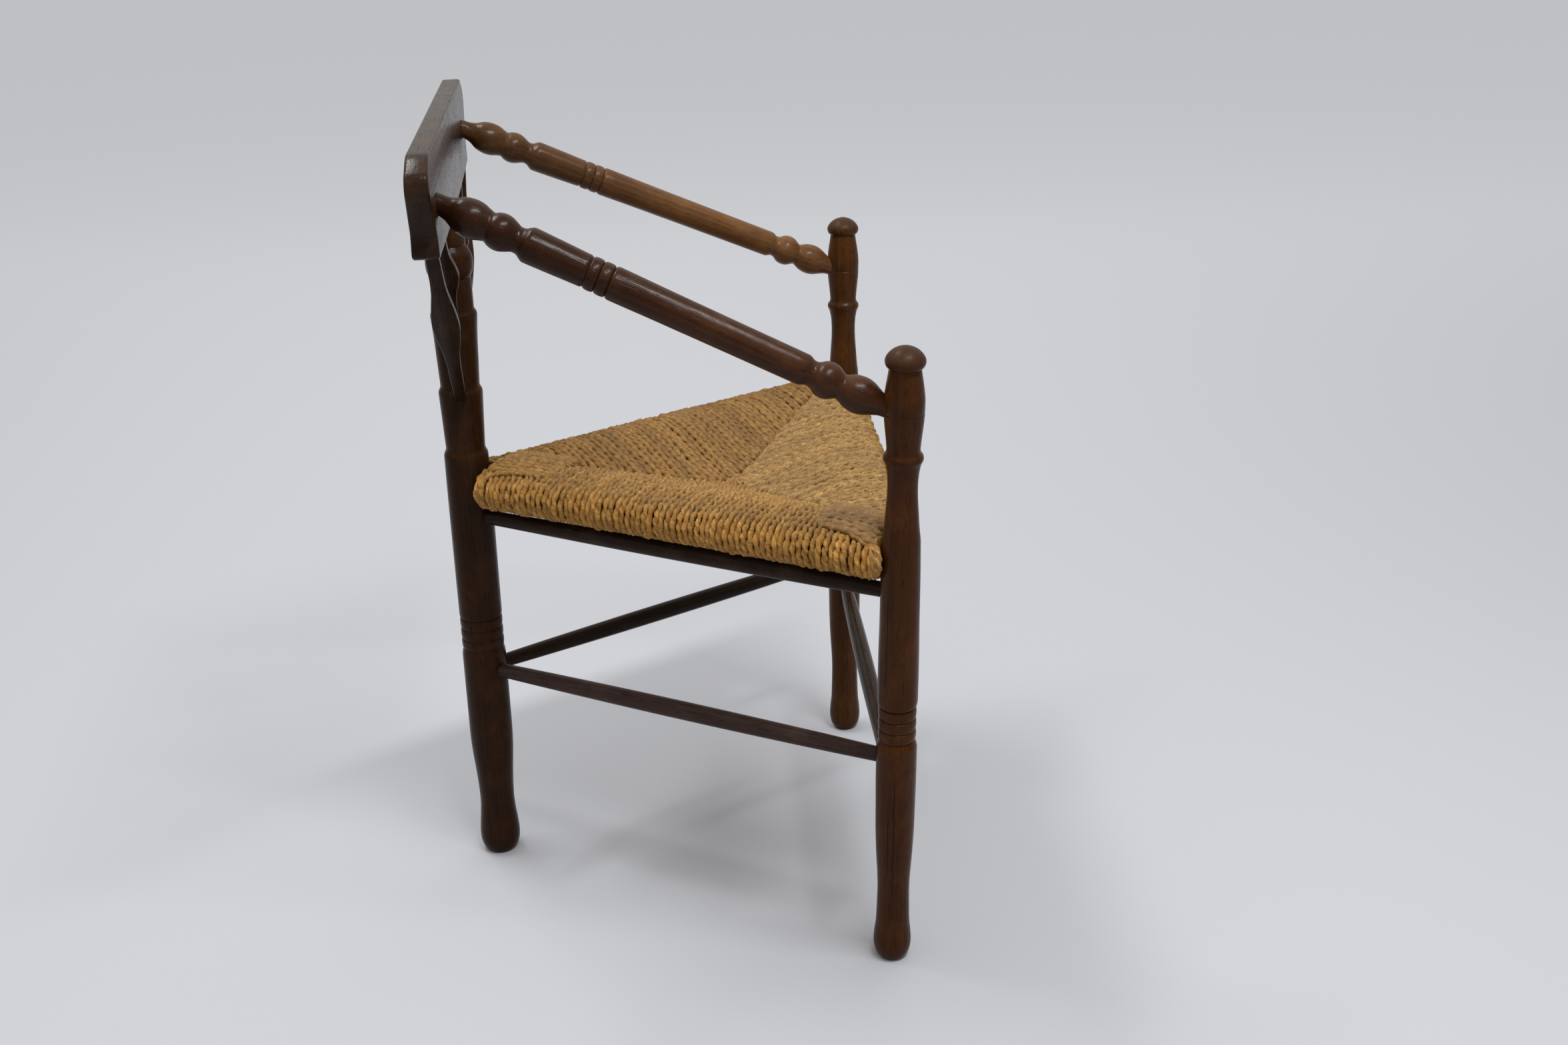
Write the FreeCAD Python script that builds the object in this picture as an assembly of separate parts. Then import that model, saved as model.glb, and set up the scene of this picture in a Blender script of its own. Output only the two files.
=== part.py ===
import FreeCAD, Part
import math
import os
from FreeCAD import Vector

# Three-legged corner armchair in turned, stained wood with a woven rush seat.
# Millimetres. +Z is up, the sitter faces -Y, and "left" is the -X side.
# Heights are above the floor. A post's heights and radii are read along its own axis.

# How the parts fit: a running clearance round every tenon, and how deep tenons go.
fit_gap = 0.15
tenon_depth = 14.0
arm_tenon_depth = 20.0
socket_spare = 1.0
soft_gap = 0.4

# The frame in plan. The front posts lean out and forward, the back post leans forward.
# The back foot is cut a little higher, so that the seat slopes down to the back.
seat_slope_deg = 0.8
front_foot_half_width = 241.0
front_foot_reach = 163.5
front_splay_deg = 3.0
front_lean_deg = 1.3
back_foot_reach = 255.5
back_lean_deg = 1.15

# Heights of the rails and stretchers.
seat_rail_height = 449.0
upper_stretcher_height = 414.0
lower_stretcher_height = 234.5
front_stretcher_height = 200.5

# Front post: heights.
front_post_height = 653.5
cap_lip_height = 640.3
cap_neck_height = 633.0
barrel_height = 592.0
collar_height = 549.5
waist_height = 523.0
cylinder_top_height = 468.0
bead_band_height = 258.9
bead_band_rise = 35.9
bead_count = 3
ankle_height = 82.0
foot_height = 19.0

# Front post: radii.
cap_lip_radius = 18.2
cap_neck_radius = 14.5
barrel_radius = 18.4
barrel_base_radius = 15.0
collar_radius = 17.9
waist_radius = 13.9
cylinder_radius = 18.9
front_bead_radius = 18.3
front_groove_radius = 16.7
leg_radius = 19.7
ankle_radius = 16.0
foot_radius = 19.1
foot_pad_radius = 13.0

# Back post: heights. From the seat up, each is a rise above the one before.
back_seat_step_height = 483.0
back_low_step_rise = 67.5
back_high_step_rise = 81.0
back_ball_base_rise = 36.9
back_ball_rise = 15.2
back_cap_base_rise = 17.4
back_cap_rise = 18.0
crest_rise = 22.0
back_low_step_height = back_seat_step_height + back_low_step_rise
back_high_step_height = back_low_step_height + back_high_step_rise
back_ball_base_height = back_high_step_height + back_ball_base_rise
back_ball_height = back_ball_base_height + back_ball_rise
back_cap_base_height = back_ball_height + back_cap_base_rise
back_cap_height = back_cap_base_height + back_cap_rise
crest_base_height = back_cap_height + crest_rise
back_band_height = 261.3
back_leg_height = 152.0
back_ankle_height = 70.0
back_foot_height = 27.0
back_sole_height = 6.0
sole_spare = 4.0
step_chamfer = 5.5
housing_rise = 19.0

# Back post: radii.
back_cylinder_radius = 22.9
back_step_base_radius = 19.9
back_low_step_radius = 22.4
back_high_step_radius = 23.4
back_stem_radius = 20.6
back_ball_radius = 23.8
back_cap_groove_radius = 16.9
back_cap_radius = 17.8
back_neck_radius = 11.0
back_tenon_radius = 9.0
back_tenon_length = 20.0
back_bead_radius = 22.4
back_groove_radius = 21.2
back_leg_radius = 23.3
back_ankle_radius = 18.9
back_foot_radius = 22.0
back_foot_pad_radius = 15.0

# Crest board. It sits turned a little on its post, as old ones do.
crest_turn_deg = 3.6
crest_board_height = 91.0
crest_base_half_length = 251.0
crest_neck_rise = 14.0
crest_flare_radius = 16.0
crest_flare_deg = 38.0
crest_flare_run = 42.6
crest_ear_radius = 13.0
crest_fall_deg = 27.0
crest_fall_length = 16.0
crest_shoulder_radius = 34.0
crest_corner_radius = 7.0
crest_base_sag = 4.0
crest_base_thickness = 24.0
crest_top_thickness = 19.0

# Splats: four thin blades, their faces turned to the sides.
splat_thickness = 6.5
splat_end_width = 11.4
splat_stem_width = 12.6
splat_belly_width = 25.2
splat_housing = 9.0
outer_splat_spread = 235.0
inner_splat_spread = 150.0
splat_set_forward = 4.0
splat_seat_drop = 2.5

# Arms, turned along a straight line from the crest's front face to the front post.
arm_crest_half_spacing = 215.0
arm_crest_rise = 41.0
arm_post_height = 588.5
arm_neck_radius = 8.8
arm_pear_radius = 17.1
arm_ball_radius = 16.6
arm_waist_radius = 12.0
arm_shoulder_radius = 16.0
arm_shaft_radius = 15.4
arm_shaft_end_radius = 14.3
arm_bead_radius = 15.3
arm_groove_radius = 13.4
arm_post_radius = 9.4
arm_tenon_tip_radius = 7.4
arm_peg_radius = 1.8
arm_peg_length = 18.0
arm_peg_setback = 6.5
arm_peg_drop = 2.5
arm_peg_sunk = 1.6

# Rails and stretchers.
seat_rail_radius = 11.0
seat_rail_end_radius = 6.5
upper_stretcher_radius = 8.9
lower_stretcher_radius = 9.6
stretcher_end_radius = 7.2

# Rush seat: wrapped over the rails, dished to the middle.
rush_half_thickness = 19.5
rush_overhang = 25.0
rush_fold_radius = 17.0
rush_dish_depth = 34.5
rush_belly_depth = 17.5
rush_front_setback = 8.0
rush_back_setback = 13.0

# How finely the turned curves are worked.
turning_tolerance = 1.25
longest_cone = 20.0
dome_flat_radius = 3.0
cutter_size = 1000.0

HALF = 0.5
FULL_TURN = 360.0


def axis_point(foot, lean_x, lean_y, height):
    """Point on a leaning post's axis at a height above the floor."""
    return Vector(foot.x + math.tan(math.radians(lean_x)) * height,
                  foot.y + math.tan(math.radians(lean_y)) * height, height)


def left_axis(height):
    foot = Vector(-front_foot_half_width, -front_foot_reach, 0)
    return axis_point(foot, -front_splay_deg, -front_lean_deg, height)


def right_axis(height):
    foot = Vector(front_foot_half_width, -front_foot_reach, 0)
    return axis_point(foot, front_splay_deg, -front_lean_deg, height)


def back_axis(height):
    return axis_point(Vector(0, back_foot_reach, 0), 0.0, -back_lean_deg, height)


def profile_points(steps):
    """Points of a turned outline as (height, radius). A step is (height, radius), reached in
    a straight run, or (height, radius, swell), reached in an arc that stands out by swell
    and is turned as a few straight tapers that stay within the turning tolerance."""
    points = [Vector(steps[0][1], 0, steps[0][0])]
    for step in steps[1:]:
        previous = points[-1]
        point = Vector(step[1], 0, step[0])
        if len(step) == 3:
            chord = point - previous
            outward = Vector(chord.z, 0, -chord.x).normalize()
            middle = (previous + point) * HALF + outward * step[2]
            tapers = math.ceil(math.sqrt(abs(step[2]) / turning_tolerance))
            arc = Part.Arc(previous, middle, point).toShape()
            points += arc.discretize(tapers + 1)[1:-1]
        points.append(point)
    return points


def ring(point):
    """Circle round Z through a point of the outline."""
    return Part.Circle(Vector(0, 0, point.z), Vector(0, 0, 1), point.x).toShape()


def wall(lower, upper):
    """Wall of a turned piece between two points of its outline. A long taper is ruled."""
    slow = upper.z - lower.z > longest_cone and abs(upper.x - lower.x) > 0
    if slow:
        return Part.makeRuledSurface(ring(lower), ring(upper))
    return Part.makeLine(lower, upper).revolve(Vector(0, 0, 0), Vector(0, 0, 1), FULL_TURN)


def turned(steps):
    """Solid turned about Z: a wall between each two points, and a flat at each end."""
    points = profile_points(steps)
    faces = [Part.Face(Part.Wire([ring(points[0])])), Part.Face(Part.Wire([ring(points[-1])]))]
    faces += [wall(lower, upper) for lower, upper in zip(points, points[1:])]
    shell = Part.makeShell(faces)
    shell.sewShape()
    solid = Part.makeSolid(shell)
    if solid.Volume < 0:
        solid.reverse()
    return solid


def laid_along(shape, start, end):
    """Shape built up the Z axis from the origin, moved to start and aimed at end."""
    shape.Placement = FreeCAD.Placement(start, FreeCAD.Rotation(Vector(0, 0, 1), end - start))
    return shape


def bead_band(base_height, rise, bead_radius, groove_radius):
    """Steps of a band of beads, from its lowest groove to its highest."""
    pitch = rise / bead_count
    steps = [(base_height, groove_radius)]
    for bead in range(bead_count):
        steps.append((base_height + pitch * (bead + 1), groove_radius, bead_radius - groove_radius))
    return steps


def front_post_steps():
    """Front post from the floor to its mushroom cap."""
    shoulder = 7.0
    band_top = bead_band_height + bead_band_rise
    steps = [
        (-sole_spare, foot_pad_radius),
        (foot_height, foot_radius, 2.0),
        (ankle_height, ankle_radius, -1.1),
        (ankle_height + 66.0, leg_radius),
        (bead_band_height - shoulder, leg_radius),
    ]
    steps += bead_band(bead_band_height, bead_band_rise, front_bead_radius, front_groove_radius)
    steps += [
        (band_top + shoulder, cylinder_radius),
        (cylinder_top_height, cylinder_radius),
        (cylinder_top_height + 12.0, cylinder_radius - 2.5),
        (waist_height, waist_radius, -0.5),
        (collar_height, collar_radius, -1.5),
        (collar_height + shoulder, barrel_base_radius, -0.5),
        (barrel_height, barrel_radius, 1.0),
        (cap_neck_height, cap_neck_radius, 1.9),
        (cap_lip_height, cap_lip_radius, -0.6),
    ]
    dome = front_post_height - cap_lip_height
    dome_radius = (cap_lip_radius ** 2 + dome ** 2) / (2 * dome)
    dome_chord = math.hypot(cap_lip_radius - dome_flat_radius, dome)
    dome_swell = dome_radius - math.sqrt(dome_radius ** 2 - (dome_chord * HALF) ** 2)
    steps.append((front_post_height, dome_flat_radius, dome_swell))
    return steps


def back_post_steps():
    """Back post from the floor to the round tenon that carries the crest."""
    shoulder = 7.0
    band_top = back_band_height + bead_band_rise
    steps = [
        (back_sole_height - sole_spare, back_foot_pad_radius),
        (back_foot_height, back_foot_radius, 2.0),
        (back_ankle_height, back_ankle_radius, -0.9),
        (back_leg_height, back_leg_radius, -1.2),
        (back_band_height - shoulder, back_leg_radius),
    ]
    steps += bead_band(back_band_height, bead_band_rise, back_bead_radius, back_groove_radius)
    steps += [
        (band_top + 9.0, back_cylinder_radius, 0.9),
        (back_seat_step_height, back_cylinder_radius),
        (back_seat_step_height + step_chamfer, back_step_base_radius),
        (back_low_step_height - housing_rise, back_low_step_radius - 0.8),
        (back_low_step_height, back_low_step_radius),
        (back_low_step_height + step_chamfer, back_step_base_radius),
        (back_high_step_height - housing_rise, back_high_step_radius - 1.5),
        (back_high_step_height, back_high_step_radius),
        (back_high_step_height + step_chamfer, back_stem_radius),
        (back_ball_base_height, back_stem_radius),
        (back_ball_height, back_ball_radius, 1.1),
        (back_cap_base_height, back_cap_groove_radius, 1.8),
        (back_cap_base_height + 2.0, back_cap_radius),
        (back_cap_height, back_neck_radius + 0.6, 2.6),
        (crest_base_height - crest_base_sag, back_neck_radius, -0.4),
        (crest_base_height - crest_base_sag, back_tenon_radius),
        (crest_base_height - crest_base_sag + back_tenon_length, back_tenon_radius),
    ]
    return steps


def leg_radius_at(axis, height):
    """Radius of the post at the height where a rail or stretcher enters it."""
    if axis is back_axis:
        return back_leg_radius if height < back_band_height else back_cylinder_radius
    return leg_radius if height < bead_band_height else cylinder_radius


def mitre_cutter(corner, own_far_end, other_far_end):
    """Block beyond the plane that halves the corner between two bars in one post."""
    own = (own_far_end - corner).normalize()
    other = (other_far_end - corner).normalize()
    normal = (own - other).normalize()
    size = 4.0 * tenon_depth
    block = Part.makeBox(2 * size, 2 * size, size, Vector(-size, -size, 0))
    return laid_along(block, corner + normal * fit_gap, corner - normal)


class Bar:
    """A rail or stretcher between two posts, with its sockets. A stretcher swells to its
    middle. A shouldered rail is straight, with a short taper down to each tenon."""

    def __init__(self, start_axis, end_axis, height, radius, end_radius, shouldered=False):
        self.start_axis = start_axis
        self.end_axis = end_axis
        self.height = height
        self.end_radius = end_radius
        self.start = start_axis(height)
        self.end = end_axis(height)
        self.length = (self.end - self.start).Length
        self.start_face = leg_radius_at(start_axis, height)
        self.end_face = leg_radius_at(end_axis, height)
        mouth = 3.0
        if shouldered:
            body = [(self.start_face + mouth + tenon_depth, radius),
                    (self.length - self.end_face - mouth - tenon_depth, radius),
                    (self.length - self.end_face - mouth, end_radius)]
        else:
            body = [(self.length - self.end_face - mouth, end_radius, radius - end_radius)]
        steps = [
            (self.start_face - tenon_depth, end_radius),
            (self.start_face + mouth, end_radius),
        ] + body + [
            (self.length - self.end_face + tenon_depth, end_radius),
        ]
        self.shape = laid_along(turned(steps), self.start, self.end)

    def socket(self, axis):
        """Hole for this bar's tenon in the post on the given axis."""
        at_start = axis is self.start_axis
        face = self.start_face if at_start else self.end_face
        origin = self.start if at_start else self.end
        far = self.end if at_start else self.start
        heading = (far - origin).normalize()
        inner = face - tenon_depth - socket_spare
        return Part.makeCylinder(self.end_radius + fit_gap, tenon_depth + 3 * fit_gap + face,
                                 origin + heading * inner, heading)

    def mitred(self, axis, other_axis):
        """Trim the tenon in the post on axis against the bar that comes from other_axis."""
        corner = axis(self.height)
        at_start = axis is self.start_axis
        far = self.end if at_start else self.start
        self.shape = self.shape.cut(mitre_cutter(corner, far, other_axis(self.height)))


def crest_frame():
    """Placement of the crest: its own X runs along the board, its own Y through it."""
    centre = back_axis(crest_base_height)
    turn = FreeCAD.Rotation(Vector(0, 0, 1), crest_turn_deg)
    return FreeCAD.Placement(Vector(centre.x, centre.y, 0), turn)


def crest_point(along, through, height):
    """Point in the crest's frame, as a point of the chair."""
    return crest_frame().multVec(Vector(along, through, height))


def outline_move(place, heading, size, turn):
    """One move along an outline in the board's face. It is a run of length size when turn
    is 0, or else an arc of radius size that turns by that many degrees, left if positive."""
    angle = math.radians(heading)
    ahead = Vector(math.cos(angle), 0, math.sin(angle))
    if turn == 0:
        end = place + ahead * size
        return Part.makeLine(place, end), end, heading
    hand = math.copysign(1.0, turn)
    centre = place + Vector(-ahead.z, 0, ahead.x) * (size * hand)

    def spot(share):
        swing = angle - hand * math.radians(90.0) + math.radians(turn) * share
        return centre + Vector(math.cos(swing), 0, math.sin(swing)) * size

    end = spot(1.0)
    return Part.Arc(place, spot(HALF), end).toShape(), end, heading + turn


def crest_board():
    """Sawn board: straight top, eared ends, and a back face that thins to the top."""
    front = -crest_base_thickness * HALF

    def at(along, height):
        return Vector(along, front, height)

    def end_outline():
        """Right end, from the bottom corner up: a neck, a flared ear and a rounded top."""
        corner = at(crest_base_half_length, crest_base_height)
        place = at(crest_base_half_length, crest_base_height + crest_neck_rise)
        edges = [Part.makeLine(corner, place)]
        heading = 90.0
        moves = [(crest_flare_radius, -crest_flare_deg), (crest_flare_run, 0.0),
                 (crest_flare_radius, crest_flare_deg),
                 (crest_ear_radius, 90.0 - crest_fall_deg), (crest_fall_length, 0.0),
                 (crest_shoulder_radius, crest_fall_deg)]
        for size, turn in moves:
            edge, place, heading = outline_move(place, heading, size, turn)
            edges.append(edge)
        return edges, corner, place

    right_edges, right_low, right_top = end_outline()
    flip = FreeCAD.Placement(Vector(0, 2 * front, 0), FreeCAD.Rotation(Vector(0, 0, 1), 180.0))
    left_edges = [edge.transformGeometry(flip.toMatrix()) for edge in right_edges]
    left_low = Vector(-right_low.x, front, right_low.z)
    left_top = Vector(-right_top.x, front, right_top.z)
    base = Part.Arc(left_low, at(0, crest_base_height - crest_base_sag), right_low).toShape()
    top = Part.makeLine(left_top, right_top)
    outline = Part.Wire(Part.__sortEdges__([base, top] + right_edges + left_edges))
    board = Part.Face(outline).extrude(Vector(0, crest_base_thickness + crest_base_sag, 0))
    low_corners = [edge for edge in board.Edges
                   if abs(abs(edge.CenterOfMass.x) - crest_base_half_length) < fit_gap
                   and abs(edge.CenterOfMass.z - crest_base_height) < fit_gap]
    board = board.makeFillet(crest_corner_radius, low_corners)

    back = crest_base_thickness * HALF
    thinner = crest_base_thickness - crest_top_thickness
    over = 30.0
    slope = thinner / crest_board_height
    tall = crest_board_height
    crest_top = crest_base_height + crest_board_height
    reach = 2 * crest_base_half_length
    wedge = Part.Face(Part.makePolygon([
        Vector(-reach, back + slope * over, crest_base_height - over),
        Vector(-reach, back - slope * (tall + over), crest_top + over),
        Vector(-reach, back + over, crest_top + over),
        Vector(-reach, back + over, crest_base_height - over),
        Vector(-reach, back + slope * over, crest_base_height - over)]))
    board = board.cut(wedge.extrude(Vector(2 * reach, 0, 0)))
    board.Placement = crest_frame()
    return board


def splat_ends(side, spread, step_height, step_radius):
    """Where a splat's centre line leaves the back post and where it meets the crest."""
    low = back_axis(step_height - splat_seat_drop)
    low = low + Vector(side * (step_radius - 2.0), -2.5, 0)
    high = crest_point(side * spread, -splat_set_forward, crest_base_height)
    return low, high


def splat(side, spread, step_height, step_radius, grow=0.0):
    """Thin blade with a swelling outline. grow widens it all round, to cut its housing."""
    low, high = splat_ends(side, spread, step_height, step_radius)
    length = (high - low).Length
    heading = (high - low).normalize()
    across = (Vector(0, -1, 0) + heading * heading.y).normalize()
    through = heading.cross(across)
    outline = [(-splat_housing, splat_end_width), (0.18, splat_stem_width), (0.36, splat_stem_width + 2.5),
               (0.56, splat_belly_width), (0.77, splat_stem_width + 2.5), (0.9, splat_stem_width)]

    def spot(share, width, hand):
        distance = share * length if share >= 0 else share - grow
        return low + heading * distance + across * (hand * (width * HALF + grow))

    edges = []
    ends = []
    for hand in (-1, 1):
        points = [spot(share, width, hand) for share, width in outline]
        top = low + heading * (length + splat_housing + grow)
        points.append(top + across * (hand * (splat_end_width * HALF + grow)))
        curve = Part.BSplineCurve()
        curve.interpolate(points)
        edges.append(curve.toShape())
        ends.append((points[0], points[-1]))
    edges.append(Part.makeLine(ends[0][0], ends[1][0]))
    edges.append(Part.makeLine(ends[0][1], ends[1][1]))
    half = through * (splat_thickness * HALF + grow)
    face = Part.Face(Part.Wire(Part.__sortEdges__(edges)))
    face.translate(half * -1)
    return face.extrude(half * 2)


def arm_ends(side):
    """Arm's axis: from the crest's front face to the front post's axis."""
    front = -crest_base_thickness * HALF
    start = crest_point(side * arm_crest_half_spacing, front, crest_base_height + arm_crest_rise)
    end = (left_axis if side < 0 else right_axis)(arm_post_height)
    return start, end


def arm(side):
    """Turned arm: pear and ball at each end, a short shaft, two beads and a long shaft."""
    start, end = arm_ends(side)
    length = (end - start).Length
    post_face = length - barrel_radius - 2.2
    bead = 5.3
    collar = 139.5
    band = [(collar + 2.5, arm_groove_radius)]
    for turn in range(2):
        band.append((collar + 2.5 + bead * 2 * (turn + 1), arm_groove_radius,
                     arm_bead_radius - arm_groove_radius))
    band_end = band[-1][0]
    steps = [
        (-tenon_depth, arm_neck_radius),
        (4.0, arm_neck_radius),
        (16.0, arm_pear_radius - 3.6, -0.6),
        (46.0, arm_waist_radius + 1.5, 5.0),
        (50.0, arm_waist_radius + 1.7, -0.3),
        (73.0, arm_waist_radius, 3.6),
        (78.0, arm_waist_radius + 0.8, -0.4),
        (83.5, arm_shoulder_radius, -0.2),
        (collar, arm_shoulder_radius - 1.0),
    ] + band + [
        (band_end + 2.5, arm_shaft_radius),
        (post_face - 75.0, arm_shaft_end_radius),
        (post_face - 70.0, arm_waist_radius, -0.3),
        (post_face - 65.5, arm_waist_radius + 0.6, -0.2),
        (post_face - 44.0, arm_waist_radius, 4.6),
        (post_face - 38.5, arm_waist_radius + 0.6, -0.3),
        (post_face - 10.0, arm_waist_radius + 1.0, 4.6),
        (post_face, arm_post_radius, -0.3),
        (post_face + arm_tenon_depth, arm_tenon_tip_radius),
    ]
    return laid_along(turned(steps), start, end)


def arm_sockets(side):
    """Holes for one arm: in the crest, and the tapered one in the front post."""
    start, end = arm_ends(side)
    heading = (end - start).normalize()
    into_crest = Part.makeCylinder(arm_neck_radius + fit_gap, tenon_depth + socket_spare + 20.0,
                                   start - heading * (tenon_depth + socket_spare), heading)
    post_face = (end - start).Length - barrel_radius - 2.2
    taper = (arm_post_radius - arm_tenon_tip_radius) / arm_tenon_depth
    mouth = 6.0
    into_post = Part.makeCone(arm_post_radius + fit_gap + taper * mouth,
                              arm_tenon_tip_radius + fit_gap - taper * socket_spare,
                              arm_tenon_depth + mouth + socket_spare,
                              start + heading * (post_face - mouth), heading)
    return into_crest, into_post


def arm_peg(side, grow=0.0):
    """Peg through the front post and the arm's tenon, driven in from the chair's side."""
    start, end = arm_ends(side)
    heading = (end - start).normalize()
    centre = end - heading * arm_peg_setback - Vector(0, 0, arm_peg_drop)
    across = Vector(side, 0, 0)
    outer = centre + across * (barrel_radius - arm_peg_sunk)
    return Part.makeCylinder(arm_peg_radius + grow, arm_peg_length + grow, outer, across * -1)


def rush_outline():
    """Plan of the rush: the rail triangle widened by the overhang, corners cut at the posts."""
    corners = [left_axis(seat_rail_height), right_axis(seat_rail_height), back_axis(seat_rail_height)]
    points = []
    for index in range(3):
        here = corners[index]
        before = corners[index - 1]
        after = corners[(index + 1) % 3]
        to_before = (before - here).normalize()
        to_after = (after - here).normalize()
        inward = (to_before + to_after).normalize()
        setback = rush_back_setback if index == 2 else rush_front_setback
        out_before = Vector(to_before.y, -to_before.x, 0)
        if out_before.dot(to_after) > 0:
            out_before = out_before * -1
        out_after = Vector(to_after.y, -to_after.x, 0)
        if out_after.dot(to_before) > 0:
            out_after = out_after * -1
        for outward, run in ((out_before, to_before), (out_after, to_after)):
            offset = outward * rush_overhang
            slide = (setback - offset.dot(inward)) / run.dot(inward)
            points.append(here + offset + run * slide)
    return corners, points


def pyramid(corners, base_height, apex):
    """Solid with a triangle of corners at base_height and one apex, widened past its base."""
    widen = 1.25
    base = []
    for corner in corners:
        point = Vector(corner.x, corner.y, base_height)
        base.append(apex + (point - apex) * widen)
    faces = [Part.Face(Part.makePolygon(base + [base[0]]))]
    for index in range(3):
        faces.append(Part.Face(Part.makePolygon([base[index - 1], base[index], apex, base[index - 1]])))
    return Part.Solid(Part.Shell(faces))


def rush_seat(rails, posts):
    """Woven seat as one closed body: rolled edges over the rails and a dished top."""
    corners, outline = rush_outline()
    base = seat_rail_height - rush_half_thickness
    top = seat_rail_height + rush_half_thickness
    plan = [Vector(point.x, point.y, base) for point in outline]
    slab = Part.Face(Part.makePolygon(plan + [plan[0]])).extrude(Vector(0, 0, 2 * rush_half_thickness))
    long_edges = []
    for edge in slab.Edges:
        level = abs(edge.Vertexes[0].Z - edge.Vertexes[1].Z) < fit_gap
        if level and edge.Length > 4 * rush_overhang:
            long_edges.append(edge)
    slab = slab.makeFillet(rush_fold_radius, long_edges)
    centre = (corners[0] + corners[1] + corners[2]) * (1.0 / 3.0)
    dish = pyramid(corners, top, Vector(centre.x, centre.y, top - rush_dish_depth))
    low_apex = Vector(centre.x, centre.y, base - rush_belly_depth)
    rim = [centre + (corner - centre) * 0.98 for corner in corners]
    belly_faces = pyramid(rim, base, low_apex)
    keep_below = Part.makeBox(2 * cutter_size, 2 * cutter_size, 2 * rush_belly_depth,
                              Vector(-cutter_size, -cutter_size, base - 2 * rush_belly_depth))
    body = slab.cut(dish).fuse(belly_faces.common(keep_below))
    for axis, radius in posts:
        low = axis(base - 2 * rush_half_thickness)
        high = axis(top + 2 * rush_half_thickness)
        body = body.cut(Part.makeCylinder(radius + soft_gap, (high - low).Length, low, high - low))
    for rail in rails:
        heading = rail.end - rail.start
        body = body.cut(Part.makeCylinder(seat_rail_radius + soft_gap, heading.Length, rail.start, heading))
    return body.removeSplitter()


def floor_tilt():
    """Turn that lays the plane through the three soles flat on the floor."""
    pivot = Vector(0, -front_foot_reach, 0)
    turn = FreeCAD.Rotation(Vector(1, 0, 0), -seat_slope_deg)
    return FreeCAD.Placement(Vector(0, 0, 0), turn, pivot)


def trimmed_to_floor(shape):
    """Cut a post's foot to the sole plane, which rises a little to the back."""
    wide = 2 * cutter_size
    below = Part.makeBox(wide, wide, wide, Vector(-cutter_size, -cutter_size, -wide))
    below.Placement = floor_tilt().inverse()
    return shape.cut(below)


def build():
    """Make every piece, in the chair's own place."""
    parts = {}

    rails = [Bar(back_axis, left_axis, seat_rail_height, seat_rail_radius, seat_rail_end_radius, True),
             Bar(back_axis, right_axis, seat_rail_height, seat_rail_radius, seat_rail_end_radius, True),
             Bar(left_axis, right_axis, seat_rail_height, seat_rail_radius, seat_rail_end_radius, True)]
    upper = [Bar(back_axis, left_axis, upper_stretcher_height, upper_stretcher_radius, stretcher_end_radius),
             Bar(back_axis, right_axis, upper_stretcher_height, upper_stretcher_radius, stretcher_end_radius)]
    lower = [Bar(back_axis, left_axis, lower_stretcher_height, lower_stretcher_radius, stretcher_end_radius),
             Bar(back_axis, right_axis, lower_stretcher_height, lower_stretcher_radius, stretcher_end_radius)]
    front = Bar(left_axis, right_axis, front_stretcher_height, lower_stretcher_radius, stretcher_end_radius)
    bars = rails + upper + lower + [front]

    for pair in (rails[:2], upper, lower):
        pair[0].mitred(back_axis, right_axis)
        pair[1].mitred(back_axis, left_axis)
    rails[0].mitred(left_axis, right_axis)
    rails[2].mitred(left_axis, back_axis)
    rails[1].mitred(right_axis, left_axis)
    rails[2].mitred(right_axis, back_axis)

    splats = {}
    splat_housings = []
    for side, hand in ((-1, "left"), (1, "right")):
        for place, spread, height, radius in (
                ("outer", outer_splat_spread, back_low_step_height, back_low_step_radius),
                ("inner", inner_splat_spread, back_high_step_height, back_high_step_radius)):
            splats["splat_%s_%s" % (place, hand)] = splat(side, spread, height, radius)
            splat_housings.append(splat(side, spread, height, radius, fit_gap))

    back_post = laid_along(turned(back_post_steps()), back_axis(0), back_axis(cutter_size))
    for bar in bars:
        if bar.start_axis is back_axis:
            back_post = back_post.cut(bar.socket(back_axis))
    for housing in splat_housings:
        back_post = back_post.cut(housing)
    parts["back_post"] = trimmed_to_floor(back_post)

    crest = crest_board()
    for housing in splat_housings:
        crest = crest.cut(housing)
    crest_hole = Part.makeCylinder(back_tenon_radius + fit_gap, back_tenon_length + socket_spare + 10.0,
                                   back_axis(crest_base_height - crest_base_sag - 10.0),
                                   back_axis(cutter_size) - back_axis(0))
    crest = crest.cut(crest_hole)

    for side, hand, axis in ((-1, "left", left_axis), (1, "right", right_axis)):
        post = laid_along(turned(front_post_steps()), axis(0), axis(cutter_size))
        for bar in bars:
            if axis in (bar.start_axis, bar.end_axis):
                post = post.cut(bar.socket(axis))
        into_crest, into_post = arm_sockets(side)
        crest = crest.cut(into_crest)
        peg = arm_peg(side)
        peg_hole = arm_peg(side, fit_gap)
        post = post.cut(into_post).cut(peg_hole)
        parts["front_post_" + hand] = trimmed_to_floor(post)
        parts["arm_" + hand] = arm(side).cut(peg_hole)
        parts["arm_peg_" + hand] = peg
    parts["crest"] = crest
    parts.update(splats)

    for bar, name in zip(bars, ("seat_rail_left", "seat_rail_right", "seat_rail_front",
                                "upper_stretcher_left", "upper_stretcher_right",
                                "lower_stretcher_left", "lower_stretcher_right",
                                "lower_stretcher_front")):
        parts[name] = bar.shape

    front_radius = leg_radius_at(left_axis, seat_rail_height)
    parts["rush_seat"] = rush_seat(rails, ((back_axis, back_cylinder_radius),
                                           (left_axis, front_radius), (right_axis, front_radius)))
    return parts


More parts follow.
